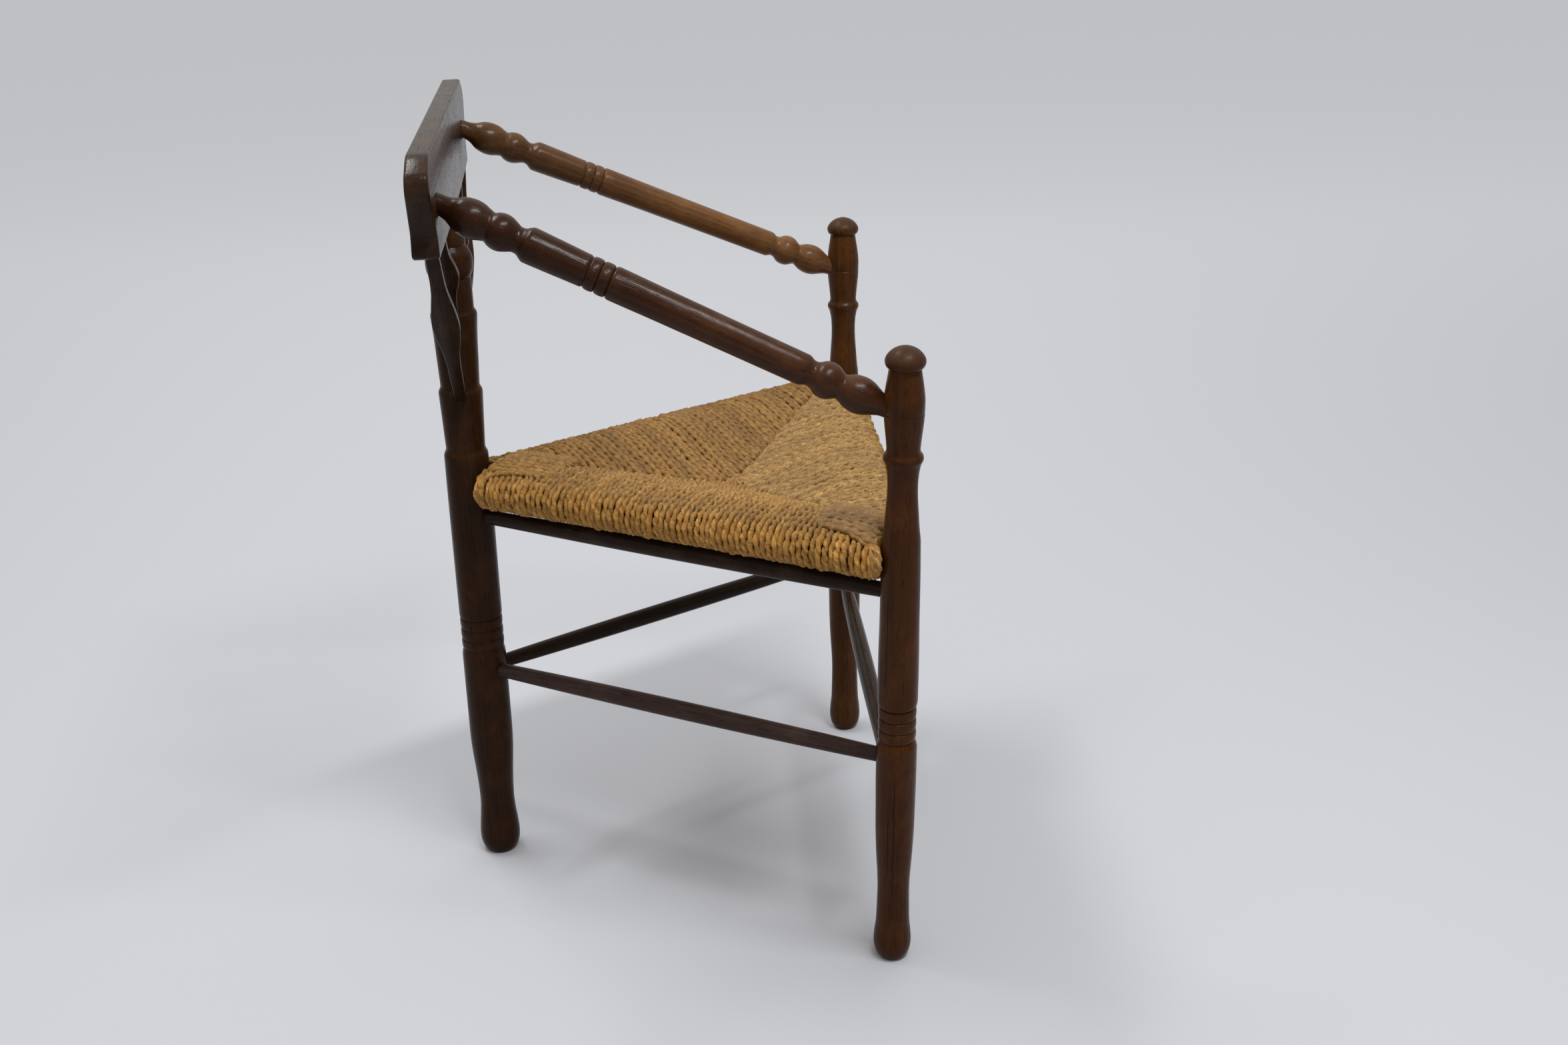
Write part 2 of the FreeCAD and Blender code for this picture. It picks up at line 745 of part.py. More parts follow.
def main():
    os.makedirs("parts", exist_ok=True)
    parts = build()
    for shape in parts.values():
        shape.Placement = floor_tilt().multiply(shape.Placement)
    box = Part.makeCompound(list(parts.values())).optimalBoundingBox(False, False)
    to_origin = Vector(-(box.XMin + box.XMax) * HALF, -(box.YMin + box.YMax) * HALF, 0)
    print("shift to the origin", tuple(round(value, 3) for value in to_origin))
    print("size", round(box.XLength, 2), round(box.YLength, 2), round(box.ZLength, 2))
    for name, shape in parts.items():
        shape.translate(to_origin)
        shape.exportStep(os.path.join("parts", name + ".step"))
        print(name, "solids", len(shape.Solids), "valid", shape.isValid(), "volume", round(shape.Volume))


main()
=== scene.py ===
import bpy
import math
import random
from mathutils import Matrix, Vector


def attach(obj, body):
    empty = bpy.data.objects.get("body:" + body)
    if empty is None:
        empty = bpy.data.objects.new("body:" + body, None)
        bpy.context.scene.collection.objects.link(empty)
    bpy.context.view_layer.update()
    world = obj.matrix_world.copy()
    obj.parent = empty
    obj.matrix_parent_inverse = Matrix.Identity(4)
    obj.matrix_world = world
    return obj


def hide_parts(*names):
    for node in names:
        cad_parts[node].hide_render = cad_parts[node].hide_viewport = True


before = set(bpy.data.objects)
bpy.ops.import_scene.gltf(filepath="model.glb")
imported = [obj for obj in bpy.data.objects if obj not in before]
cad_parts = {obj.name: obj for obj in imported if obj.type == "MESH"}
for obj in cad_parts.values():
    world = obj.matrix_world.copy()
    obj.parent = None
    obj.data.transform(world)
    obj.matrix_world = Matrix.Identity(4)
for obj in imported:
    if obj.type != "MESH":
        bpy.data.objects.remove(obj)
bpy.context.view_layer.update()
mm = 0.001


# Front posts. Each is one stick of oak, turned with a foot, a band of three beads, a collar
# and a mushroom cap, stained dark and polished. They lean out and forward, and the whole
# chair stands tipped back by a shade because the back foot is a little short.
sole_line = -163.5
seat_slope = math.radians(-0.8)
stance = (Matrix.Translation((0, (sole_line - 43.01) * mm, 0)) @ Matrix.Rotation(seat_slope, 4, "X")
          @ Matrix.Translation((0, -sole_line * mm, 0)))


def post_line(foot_x, foot_y, splay_deg, lean_deg, height):
    """Point on a post's own axis, in metres, before the chair is set on its feet."""
    return Vector((foot_x + math.tan(math.radians(splay_deg)) * height,
                   foot_y + math.tan(math.radians(lean_deg)) * height, height)) * mm


def left_post_at(height):
    return post_line(-241.0, sole_line, -3.0, -1.3, height)


def right_post_at(height):
    return post_line(241.0, sole_line, 3.0, -1.3, height)


def back_post_at(height):
    return post_line(0.0, 255.5, 0.0, -1.15, height)


def aimed(start, end):
    """Where a stick that was turned about Z from the origin goes, from start towards end."""
    way = (end - start).normalized()
    return Matrix.Translation(start) @ Vector((0, 0, 1)).rotation_difference(way).to_matrix().to_4x4()


def turner_outline(runs, step=1.6, long_step=9.0):
    """The lathe outline as (height, radius) in mm. Each run is a fair curve through its
    points, and two runs meet in a crisp line."""
    outline = [runs[0][0]]
    for run in runs:
        for place in range(len(run) - 1):
            before = run[max(place - 1, 0)]
            here = run[place]
            after = run[place + 1]
            beyond = run[min(place + 2, len(run) - 1)]
            rise = after[0] - here[0]
            across = after[1] - here[1]
            slope_in = (after[1] - before[1]) / max(after[0] - before[0], 0.01)
            slope_out = (beyond[1] - here[1]) / max(beyond[0] - here[0], 0.01)
            if len(run) == 2:
                slope_in = slope_out = across / max(rise, 0.01)
            fair = long_step if abs(across) < 0.02 * rise else step
            cuts = max(1, math.ceil(math.hypot(rise, across) / fair)) if len(run) > 2 or rise > 30 else 1
            for cut in range(1, cuts + 1):
                t = cut / cuts
                radius = ((2 * t ** 3 - 3 * t ** 2 + 1) * here[1] + (t ** 3 - 2 * t ** 2 + t) * rise * slope_in
                          + (3 * t ** 2 - 2 * t ** 3) * after[1] + (t ** 3 - t ** 2) * rise * slope_out)
                outline.append((here[0] + rise * t, radius))
    return outline


def beads(grooves, groove_radius, bead_radius):
    """A run for each bead between two grooves."""
    runs = []
    for low, high in zip(grooves, grooves[1:]):
        half = (high - low) / 2
        swell = bead_radius - groove_radius
        run = []
        for turn in range(7):
            angle = math.pi * turn / 6
            run.append((low + half * (1 - math.cos(angle)), groove_radius + swell * math.sin(angle) ** 0.8))
        runs.append(run)
    return runs


def draw_line(name, spots):
    """New piece that is one line of edges from spot to spot, left selected in edit mode."""
    bpy.ops.object.select_all(action="DESELECT")
    bpy.ops.mesh.primitive_plane_add(size=mm)
    piece = bpy.context.active_object
    piece.name = name
    bpy.ops.object.mode_set(mode="EDIT")
    bpy.ops.mesh.select_mode(type="VERT")
    bpy.ops.mesh.select_all(action="SELECT")
    bpy.ops.mesh.merge(type="CENTER")
    bpy.ops.transform.translate(value=spots[0])
    for before, after in zip(spots, spots[1:]):
        bpy.ops.mesh.extrude_region_move(TRANSFORM_OT_translate={"value": after - before})
    bpy.ops.mesh.select_all(action="SELECT")
    return piece


def pick(piece):
    """Select this piece alone."""
    bpy.ops.object.select_all(action="DESELECT")
    piece.select_set(True)
    bpy.context.view_layer.objects.active = piece


def turn_on_lathe(name, outline, placed, sides=64):
    """Spin an outline about Z as a lathe does, close both ends and put the stick in its place."""
    path = [(outline[0][0], 0.0)] + list(outline) + [(outline[-1][0], 0.0)]
    stick = draw_line(name, [Vector((radius, 0, height)) * mm for height, radius in path])
    bpy.ops.mesh.spin(steps=sides, angle=2 * math.pi, center=(0, 0, 0), axis=(0, 0, 1))
    bpy.ops.mesh.select_all(action="SELECT")
    bpy.ops.mesh.remove_doubles(threshold=0.00002)
    bpy.ops.mesh.normals_make_consistent(inside=False)
    bpy.ops.object.mode_set(mode="OBJECT")
    set_in_place(stick, placed)
    bpy.ops.object.shade_smooth_by_angle(angle=math.radians(32))
    return stick


def set_in_place(piece, placed):
    """Move a piece to its place in the chair, with the place kept in its mesh."""
    pick(piece)
    piece.matrix_world = placed
    bpy.ops.object.transform_apply(location=True, rotation=True, scale=True)


def sawn_at_floor(post):
    """Cut a foot off flat where it meets the floor."""
    pick(post)
    bpy.ops.object.mode_set(mode="EDIT")
    bpy.ops.mesh.select_all(action="SELECT")
    bpy.ops.mesh.bisect(plane_co=(0, 0, 0), plane_no=(0, 0, 1), use_fill=True, clear_inner=True)
    bpy.ops.object.mode_set(mode="OBJECT")


def new_group(name, inputs, outputs):
    """Empty shader group with its sockets. An input is (name, kind, value)."""
    group = bpy.data.node_groups.new(name, "ShaderNodeTree")
    for label, kind, value in inputs:
        socket = group.interface.new_socket(label, in_out="INPUT", socket_type="NodeSocket" + kind)
        if value is not None:
            socket.default_value = value
    for label, kind in outputs:
        group.interface.new_socket(label, in_out="OUTPUT", socket_type="NodeSocket" + kind)
    return group, group.nodes.new("NodeGroupInput").outputs, group.nodes.new("NodeGroupOutput").inputs


def wired(tree, kind, settings=(), **links):
    """Add a node, set its properties and join or fill its inputs, named with _ for a space."""
    node = tree.nodes.new("ShaderNode" + kind)
    for key, value in dict(settings).items():
        setattr(node, key, value)
    for key, value in links.items():
        socket = node.inputs[int(key[1:]) if key[0] == "i" and key[1:].isdigit() else key.replace("_", " ")]
        if isinstance(value, bpy.types.NodeSocket):
            tree.links.new(value, socket)
        else:
            socket.default_value = value
    return node


def shaded(tree, kind, a, b=None, c=None):
    """A Math node's result."""
    node = tree.nodes.new("ShaderNodeMath")
    node.operation = kind
    for socket, value in zip(node.inputs, (a, b, c)):
        if isinstance(value, bpy.types.NodeSocket):
            tree.links.new(value, socket)
        elif value is not None:
            socket.default_value = value
    return node.outputs[0]


def stepped(tree, value, low, high):
    """0 below low, 1 above high, smooth between."""
    node = wired(tree, "MapRange", {"interpolation_type": "SMOOTHSTEP", "clamp": True}, Value=value,
                 From_Min=low, From_Max=high)
    return node.outputs["Result"]


def blended(tree, share, first, second, kind="MIX"):
    """Colour mixed from two by a share."""
    node = tree.nodes.new("ShaderNodeMix")
    node.data_type = "RGBA"
    node.blend_type = kind
    for socket, value in ((node.inputs[0], share), (node.inputs[6], first), (node.inputs[7], second)):
        if isinstance(value, bpy.types.NodeSocket):
            tree.links.new(value, socket)
        else:
            socket.default_value = value
    return node.outputs[2]


def oak_figure_group():
    """Stained oak: long streaks, growth rings, open pores and uneven polish. The grain
    runs along the Z of the vector that comes in, in metres."""
    group, given, out = new_group(
        "oak_figure",
        [("Vector", "Vector", None), ("Stain", "Color", (0.03, 0.012, 0.005, 1)),
         ("Shade", "Color", (0.012, 0.005, 0.003, 1)), ("Rubbed", "Color", (0.09, 0.035, 0.012, 1)),
         ("Figure", "Float", 0.6), ("Pores", "Float", 0.5), ("Wear", "Float", 0.3)],
        [("Color", "Color"), ("Roughness", "Float"), ("Height", "Float")])
    long_way = wired(group, "VectorMath", {"operation": "MULTIPLY"}, i0=given["Vector"],
                     i1=(1.0, 1.0, 0.045)).outputs[0]
    streak = wired(group, "TexNoise", (), Vector=long_way, Scale=150.0, Detail=5.0, Roughness=0.62,
                   Distortion=0.4).outputs["Fac"]
    streak = stepped(group, streak, 0.36, 0.66)
    off_pith = wired(group, "VectorMath", {"operation": "ADD"}, i0=given["Vector"],
                     i1=(0.012, 0.031, 0.0)).outputs[0]
    slow = wired(group, "VectorMath", {"operation": "MULTIPLY"}, i0=off_pith, i1=(1.0, 1.0, 0.12)).outputs[0]
    rings = wired(group, "TexWave", {"wave_type": "RINGS", "rings_direction": "Z", "wave_profile": "SAW"},
                  Vector=slow, Scale=60.0, Distortion=3.0, Detail=2.0, Detail_Scale=9.0,
                  Detail_Roughness=0.5).outputs["Fac"]
    ring_mask = shaded(group, "MULTIPLY", rings, given["Figure"])
    pore_way = wired(group, "VectorMath", {"operation": "MULTIPLY"}, i0=given["Vector"],
                     i1=(1.0, 1.0, 0.06)).outputs[0]
    pore = wired(group, "TexNoise", (), Vector=pore_way, Scale=900.0, Detail=1.5, Roughness=0.5).outputs["Fac"]
    pore = shaded(group, "MULTIPLY", stepped(group, pore, 0.60, 0.70), given["Pores"])
    cloud = wired(group, "TexNoise", (), Vector=given["Vector"], Scale=22.0, Detail=4.0,
                  Roughness=0.6).outputs["Fac"]
    scuff = wired(group, "TexNoise", (), Vector=given["Vector"], Scale=95.0, Detail=6.0,
                  Roughness=0.7).outputs["Fac"]
    worn = shaded(group, "MULTIPLY", stepped(group, cloud, 0.45, 0.72), given["Wear"])
    worn = shaded(group, "MULTIPLY_ADD", shaded(group, "MULTIPLY", stepped(group, scuff, 0.62, 0.70), given["Wear"]),
                  0.6, worn)
    dark_share = shaded(group, "MULTIPLY_ADD", streak, 0.38, shaded(group, "MULTIPLY", ring_mask, 0.45))
    colour = blended(group, dark_share, given["Stain"], given["Shade"])
    colour = blended(group, worn, colour, given["Rubbed"])
    colour = blended(group, pore, colour, (0.004, 0.002, 0.0015, 1))
    group.links.new(colour, out["Color"])
    polish = shaded(group, "MULTIPLY_ADD", cloud, 0.14, 0.11)
    polish = shaded(group, "MULTIPLY_ADD", scuff, 0.10, polish)
    polish = shaded(group, "MULTIPLY_ADD", pore, 0.25, polish)
    group.links.new(polish, out["Roughness"])
    relief = shaded(group, "MULTIPLY_ADD", pore, -0.5, shaded(group, "MULTIPLY", streak, -0.25))
    relief = shaded(group, "MULTIPLY_ADD", scuff, 0.35, relief)
    group.links.new(relief, out["Height"])
    return group


oak_figure = oak_figure_group()


def new_finish(name):
    """Empty material and its nodes."""
    material = bpy.data.materials.new(name)
    material.use_nodes = True
    material.node_tree.nodes.clear()
    return material, material.node_tree


def show(tree, shader):
    """Join a shader to the material's output."""
    output = tree.nodes.new("ShaderNodeOutputMaterial")
    tree.links.new(shader.outputs[0], output.inputs[0])


def stained_oak(name, stain, shade, rubbed, grain_from, grain_to, figure=0.6, pores=0.5, wear=0.3,
                gloss=0.07, marks=None):
    """Material for one piece of oak. The grain runs from grain_from to grain_to, and marks adds
    what is only on this piece."""
    material, tree = new_finish(name)
    placed = stance @ aimed(grain_from, grain_to)
    place = wired(tree, "TexCoord").outputs["Object"]
    along = wired(tree, "Mapping", {"vector_type": "TEXTURE"}, Vector=place,
                  Location=placed.to_translation(), Rotation=placed.to_euler()).outputs[0]
    wood = tree.nodes.new("ShaderNodeGroup")
    wood.node_tree = oak_figure
    tree.links.new(along, wood.inputs["Vector"])
    for label, colour in (("Stain", stain), ("Shade", shade), ("Rubbed", rubbed)):
        wood.inputs[label].default_value = (*colour, 1)
    wood.inputs["Figure"].default_value = figure
    wood.inputs["Pores"].default_value = pores
    wood.inputs["Wear"].default_value = wear
    colour = wood.outputs["Color"]
    rough = wood.outputs["Roughness"]
    if marks:
        colour, rough = marks(tree, along, colour, rough)
    bump = wired(tree, "Bump", (), Height=wood.outputs["Height"], Strength=0.55, Distance=0.0006)
    shader = wired(tree, "BsdfPrincipled", (), Base_Color=colour, Roughness=rough,
                   Normal=bump.outputs[0], Specular_IOR_Level=gloss)
    show(tree, shader)
    return material


def finished(piece, material, slot_name, *stands_for):
    """Give a piece its finish and hand it to the frame."""
    piece.data.materials.clear()
    piece.data.materials.append(material)
    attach(piece, "root")
    if stands_for:
        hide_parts(*stands_for)


front_post_runs = [
    [(-1.5, 11.5), (1.5, 14.0), (6.0, 16.9), (12.0, 18.5), (19.0, 19.1), (25.0, 18.8), (32.0, 18.2), (42.0, 17.1),
     (62.0, 16.4), (82.0, 16.0), (101.0, 16.5), (121.0, 17.7), (150.0, 18.9), (187.0, 19.4), (215.0, 19.7),
     (249.0, 19.7)],
    [(249.0, 19.7), (252.5, 19.2), (256.0, 17.9), (258.9, 16.7)],
] + beads([258.9, 270.4, 282.6, 294.8], 16.6, 18.4) + [
    [(294.8, 16.6), (296.2, 18.2), (299.0, 19.0), (305.0, 19.3), (348.0, 19.2), (382.0, 18.7), (432.0, 18.4),
     (466.0, 17.8)],
    [(466.0, 17.8), (471.0, 17.5), (480.0, 16.4), (496.0, 15.2), (512.0, 14.1), (524.0, 13.9), (535.0, 14.6),
     (543.0, 16.1), (546.5, 17.4)],
    [(546.5, 17.4), (548.0, 18.1), (550.0, 18.3), (552.0, 17.9), (553.5, 16.9)],
    [(553.5, 16.9), (556.0, 15.4), (563.0, 15.6), (574.0, 16.7), (585.0, 17.8), (591.3, 18.2)],
    [(591.3, 18.2), (592.0, 17.8), (592.7, 18.2)],
    [(592.7, 18.2), (604.0, 18.3), (611.0, 17.7), (618.0, 16.8), (626.0, 15.5), (632.5, 14.5)],
    [(632.5, 14.5), (633.6, 14.5), (635.2, 16.6), (637.0, 17.6), (639.0, 18.15), (641.0, 18.1), (643.0, 17.5),
     (646.0, 15.6), (649.5, 12.0), (652.2, 7.0), (653.5, 2.0)],
]
front_post_outline = turner_outline(front_post_runs)
crack_spans = [(3.02, 0.07, 0.235), (2.72, 0.10, 0.20), (2.45, 0.31, 0.43)]


def dusty_cap(tree, along, colour, rough):
    """Pale dust and rubbed polish on the mushroom cap."""
    height = wired(tree, "SeparateXYZ", (), Vector=along).outputs["Z"]
    spots = wired(tree, "TexNoise", (), Vector=along, Scale=60.0, Detail=4.0).outputs["Fac"]
    dusty = shaded(tree, "MULTIPLY", stepped(tree, height, 0.6385, 0.6420), stepped(tree, spots, 0.3, 0.62))
    colour = blended(tree, shaded(tree, "MULTIPLY", dusty, 0.6), colour, (0.042, 0.023, 0.0135, 1))
    rough = shaded(tree, "MULTIPLY_ADD", dusty, 0.15, rough)
    return colour, rough


def cap_and_cracks(tree, along, colour, rough):
    """The same cap, and the dry cracks low in the near post."""
    colour, rough = dusty_cap(tree, along, colour, rough)
    spot = wired(tree, "SeparateXYZ", (), Vector=along)
    around = shaded(tree, "ARCTAN2", spot.outputs["Y"], spot.outputs["X"])
    wander_way = wired(tree, "VectorMath", {"operation": "MULTIPLY"}, i0=along, i1=(4.0, 4.0, 30.0)).outputs[0]
    wander = wired(tree, "TexNoise", (), Vector=wander_way, Scale=1.0, Detail=3.0).outputs["Fac"]
    line = shaded(tree, "MULTIPLY_ADD", wander, 0.16, around)
    for turn, low, high in crack_spans:
        near = shaded(tree, "ABSOLUTE", shaded(tree, "SUBTRACT", line, turn))
        thin = shaded(tree, "SUBTRACT", 1.0, stepped(tree, near, 0.012, 0.04))
        tall = shaded(tree, "MULTIPLY", stepped(tree, spot.outputs["Z"], low, low + 0.02),
                      shaded(tree, "SUBTRACT", 1.0, stepped(tree, spot.outputs["Z"], high - 0.03, high)))
        crack = shaded(tree, "MULTIPLY", shaded(tree, "MULTIPLY", thin, tall), 0.85)
        colour = blended(tree, crack, colour, (0.004, 0.002, 0.001, 1))
    return colour, rough


for hand, post_at, stain, rubbed in (("left", left_post_at, (0.054, 0.0170, 0.0036), (0.105, 0.038, 0.0095)),
                                     ("right", right_post_at, (0.066, 0.0245, 0.0060), (0.115, 0.045, 0.011))):
    post = turn_on_lathe("turned_front_post_" + hand, front_post_outline, aimed(post_at(0), post_at(650)))
    set_in_place(post, stance)
    sawn_at_floor(post)
    oak = stained_oak("front_post_oak_" + hand, stain, (0.021, 0.0072, 0.0020), rubbed,
                      post_at(0), post_at(650), figure=0.55, pores=0.6, wear=0.4, gloss=0.09,
                      marks=cap_and_cracks if hand == "left" else dusty_cap)
    finished(post, oak, "front_post_wood", "front_post_" + hand)


# Back post. It is thicker than the others and steps in twice above the seat, where the
# splats are housed, then ends in a ball and a short cap that carries the crest board.
back_post_runs = [
    [(3.5, 13.5), (7.0, 16.5), (11.0, 19.2), (18.0, 21.4), (27.0, 22.0), (40.0, 21.2), (55.0, 19.7), (70.0, 18.9),
     (88.0, 19.3), (109.0, 20.6), (130.0, 22.2), (151.0, 23.2), (193.0, 23.3), (251.0, 23.3)],
    [(251.0, 23.3), (255.0, 23.0), (259.0, 22.2), (261.5, 21.3)],
] + beads([261.5, 272.9, 285.1, 297.4], 21.2, 22.6) + [
    [(297.4, 21.2), (298.8, 22.4), (302.0, 22.7), (310.0, 22.7), (437.0, 23.0), (480.5, 22.8)],
    [(480.5, 22.8), (483.0, 22.5), (487.5, 20.6), (489.5, 20.1)],
    [(489.5, 20.1), (507.0, 20.8), (526.0, 21.5), (548.5, 22.4)],
    [(548.5, 22.4), (551.0, 22.1), (555.0, 20.2), (557.0, 19.8)],
    [(557.0, 19.8), (585.0, 21.0), (610.0, 22.0), (629.5, 23.4)],
    [(629.5, 23.4), (632.0, 23.1), (635.5, 21.2), (637.0, 20.7)],
    [(637.0, 20.7), (667.0, 20.5)],
    [(667.0, 20.5), (668.6, 19.7)],
    [(668.6, 19.7), (671.0, 21.2), (676.0, 22.9), (683.6, 23.6), (690.0, 22.9), (695.0, 21.0), (699.0, 18.4),
     (701.0, 17.0)],
    [(701.0, 17.0), (702.0, 17.6), (705.0, 17.5), (712.0, 16.0), (722.0, 13.0), (730.0, 12.1), (745.0, 12.0)],
]
back_post = turn_on_lathe("turned_back_post", turner_outline(back_post_runs),
                          aimed(back_post_at(0), back_post_at(700)))
set_in_place(back_post, stance)
sawn_at_floor(back_post)
finished(back_post, stained_oak("back_post_oak", (0.028, 0.0105, 0.0034), (0.011, 0.0044, 0.0018),
                                (0.07, 0.028, 0.010), back_post_at(0), back_post_at(700),
                                figure=0.6, pores=0.6, wear=0.35), "back_post_wood", "back_post")


# Rails and stretchers. Plain round sticks, thickest at the middle, driven into holes in the
# posts. The three seat rails are hidden in the rush and keep the frame's own shape.
stick_end_radius = 7.3
stick_bury = 12.0


def stretcher(name, from_post, to_post, height, middle_radius, stain, rubbed):
    """Round stick between two posts, with a slow swell to the middle."""
    start = from_post(height)
    end = to_post(height)
    length = (end - start).length / mm
    run = []
    for cut in range(13):
        share = cut / 12
        swell = math.sin(math.pi * share) ** 0.8
        run.append((stick_bury + (length - 2 * stick_bury) * share,
                    stick_end_radius + (middle_radius - stick_end_radius) * swell))
    stick = turn_on_lathe("turned_" + name, turner_outline([run], step=6.0), aimed(start, end), sides=40)
    set_in_place(stick, stance)
    oak = stained_oak(name + "_oak", stain, (0.008, 0.004, 0.003), rubbed, start, end,
                      figure=0.5, pores=0.6, wear=0.45)
    finished(stick, oak, "stretcher_wood", name)


def refinish(node_name, oak):
    """Give a piece that keeps the frame's own shape its finish."""
    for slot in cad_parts[node_name].material_slots:
        slot.material = oak


back_to_left = (back_post_at, left_post_at)
back_to_right = (back_post_at, right_post_at)
left_to_right = (left_post_at, right_post_at)
stretcher("lower_stretcher_left", *back_to_left, 234.5, 9.6, (0.053, 0.032, 0.027), (0.075, 0.045, 0.035))
stretcher("lower_stretcher_right", *back_to_right, 234.5, 9.6, (0.024, 0.0145, 0.010), (0.04, 0.024, 0.015))
stretcher("lower_stretcher_front", *left_to_right, 200.5, 9.6, (0.032, 0.017, 0.009), (0.06, 0.036, 0.021))
stretcher("upper_stretcher_left", *back_to_left, 414.0, 8.9, (0.030, 0.018, 0.0125), (0.07, 0.042, 0.03))
stretcher("upper_stretcher_right", *back_to_right, 414.0, 8.9, (0.040, 0.023, 0.015), (0.06, 0.03, 0.016))
rail_height = 449.0
for name, (from_post, to_post) in (("seat_rail_left", back_to_left), ("seat_rail_right", back_to_right),
                                   ("seat_rail_front", left_to_right)):
    refinish(name, stained_oak(name + "_oak", (0.06, 0.03, 0.014), (0.02, 0.01, 0.005), (0.12, 0.07, 0.035),
                               from_post(rail_height), to_post(rail_height), gloss=0.1))


# Rush seat. Cords of twisted rush are wound over the three rails from the corners inward.
# They meet in a seam from each post to the middle, and the pad between is stuffed with rush.
seat_corners = [left_post_at(rail_height), right_post_at(rail_height), back_post_at(rail_height)]
cord_pitch = 6.6
cord_twist = 21.0
cord_sink = 3.2
cord_step = 2.6
short_cord = 8.0
edge_dip = 15.0
back_corner_reach = 98.0
near_corner_reach = 88.0
rush_top = [(0.0, 20.0), (20.0, 22.6), (41.0, 19.0), (62.0, 12.0), (82.0, 4.5), (101.0, -3.0), (123.0, -9.0),
            (150.0, -14.0)]
rush_edge = [(0.0, 20.0), (-10.0, 18.0), (-18.5, 12.5), (-23.2, 4.0), (-23.5, -4.0), (-19.5, -13.5), (-11.0, -19.6),
             (0.0, -21.8)]
rush_under = [(0.0, -21.8), (40.0, -24.0), (80.0, -26.0), (150.0, -31.0)]


def read_off(table, distance):
    """Value at a distance along a table of (distance, value) pairs."""
    for (near, low), (far, high) in zip(table, table[1:]):
        if distance <= far:
            share = (distance - near) / (far - near)
            share = share * share * (3 - 2 * share) * 0.35 + share * 0.65
            return low + (high - low) * share
    return table[-1][1]


def fair_line(points, step):
    """Points a step apart on a fair curve through the given ones."""
    line = [points[0]]
    for place in range(len(points) - 1):
        before = points[max(place - 1, 0)]
        here = points[place]
        after = points[place + 1]
        beyond = points[min(place + 2, len(points) - 1)]
        cuts = max(1, round((after - here).length / step))
        for cut in range(1, cuts + 1):
            t = cut / cuts
            line.append(0.5 * (2 * here + (after - before) * t + (2 * before - 5 * here + 4 * after - beyond) * t * t
                               + (3 * here - before - 3 * after + beyond) * t ** 3))
    return line


def lay_cord(store, path, radius, seed, tone, rail, inward, sides=10, flat=0.8):
    """Add one twisted cord along a path in mm: two strands wound round each other. The rail is
    a point on the rail's own line, and inward points from it to the middle of the seat."""
    path = fair_line(path, cord_step)
    draw = random.Random(seed)
    phase = draw.uniform(0, 2 * math.pi)
    twist = cord_twist * draw.uniform(0.75, 1.35)
    wobble = draw.uniform(0, 50)
    first = len(store["points"])
    run = 0.0
    up = Vector((0, 0, 1))
    for place, point in enumerate(path):
        ahead = (path[min(place + 1, len(path) - 1)] - path[max(place - 1, 0)]).normalized()
        if place:
            run += (point - path[place - 1]).length
            up = (up - ahead * up.dot(ahead)).normalized()
        else:
            up = ahead.orthogonal().normalized()
        side = ahead.cross(up)
        edge = min(place, len(path) - 1 - place)
        taper = (0.45, 0.8, 0.95)[edge] if edge < 3 else 1.0
        swell = 1 + 0.10 * math.sin(run * 0.21 + wobble) + 0.08 * math.sin(run * 0.57 + 2 * wobble)
        # How far the cord lies over the rail's outer edge, where the rush leaf group paints light into its colour.
        over_edge = min(1.0, max(0.0, (-6.0 - (point - rail / mm).dot(inward)) / 12.0))
        own_tone = tone + 0.16 * math.sin(run * 0.083 + 3 * wobble)
        for corner in range(sides):
            own = 2 * math.pi * corner / sides
            angle = own + phase + 2 * math.pi * run / twist
            lobe = 1 + 0.20 * math.cos(2 * own)
            reach = radius * taper * swell * lobe
            store["points"].append(point + (side * math.cos(angle) + up * math.sin(angle) * flat) * reach)
            store["uv"].append((run * mm, corner / sides))
            store["tone"].append(own_tone)
            store["painted_edge_light"].append(over_edge)
    for place in range(len(path) - 1):
        for corner in range(sides):
            after = (corner + 1) % sides
            low = first + place * sides
            store["faces"].append((low + corner, low + after, low + sides + after, low + sides + corner))
            store["wrap"].append(corner == sides - 1)
    for end, turn in ((first, -1), (first + (len(path) - 1) * sides, 1)):
        ring = [end + corner for corner in range(sides)]
        store["faces"].append(tuple(ring[::turn]))
        store["wrap"].append(False)


def weave(name, store, material):
    """Mesh of many cords, with a map that runs along and round each cord."""
    mesh = bpy.data.meshes.new(name)
    mesh.from_pydata([stance @ (point * mm) for point in store["points"]], [], store["faces"])
    chart = mesh.uv_layers.new(name="along_cord")
    tone = mesh.attributes.new("cord_tone", "FLOAT", "POINT")
    tone.data.foreach_set("value", store["tone"])
    painted_edge_light = mesh.attributes.new("painted_edge_light", "FLOAT", "POINT")
    painted_edge_light.data.foreach_set("value", store["painted_edge_light"])
    for polygon, wraps in zip(mesh.polygons, store["wrap"]):
        for corner in polygon.loop_indices:
            along, around = store["uv"][mesh.loops[corner].vertex_index]
            if wraps and around == 0.0:
                around = 1.0
            chart.data[corner].uv = (along, around)
    mesh.polygons.foreach_set("use_smooth", [True] * len(mesh.polygons))
    mesh.update()
    piece = bpy.data.objects.new(name, mesh)
    bpy.context.collection.objects.link(piece)
    finished(piece, material, "rush", "rush_seat")
    return piece


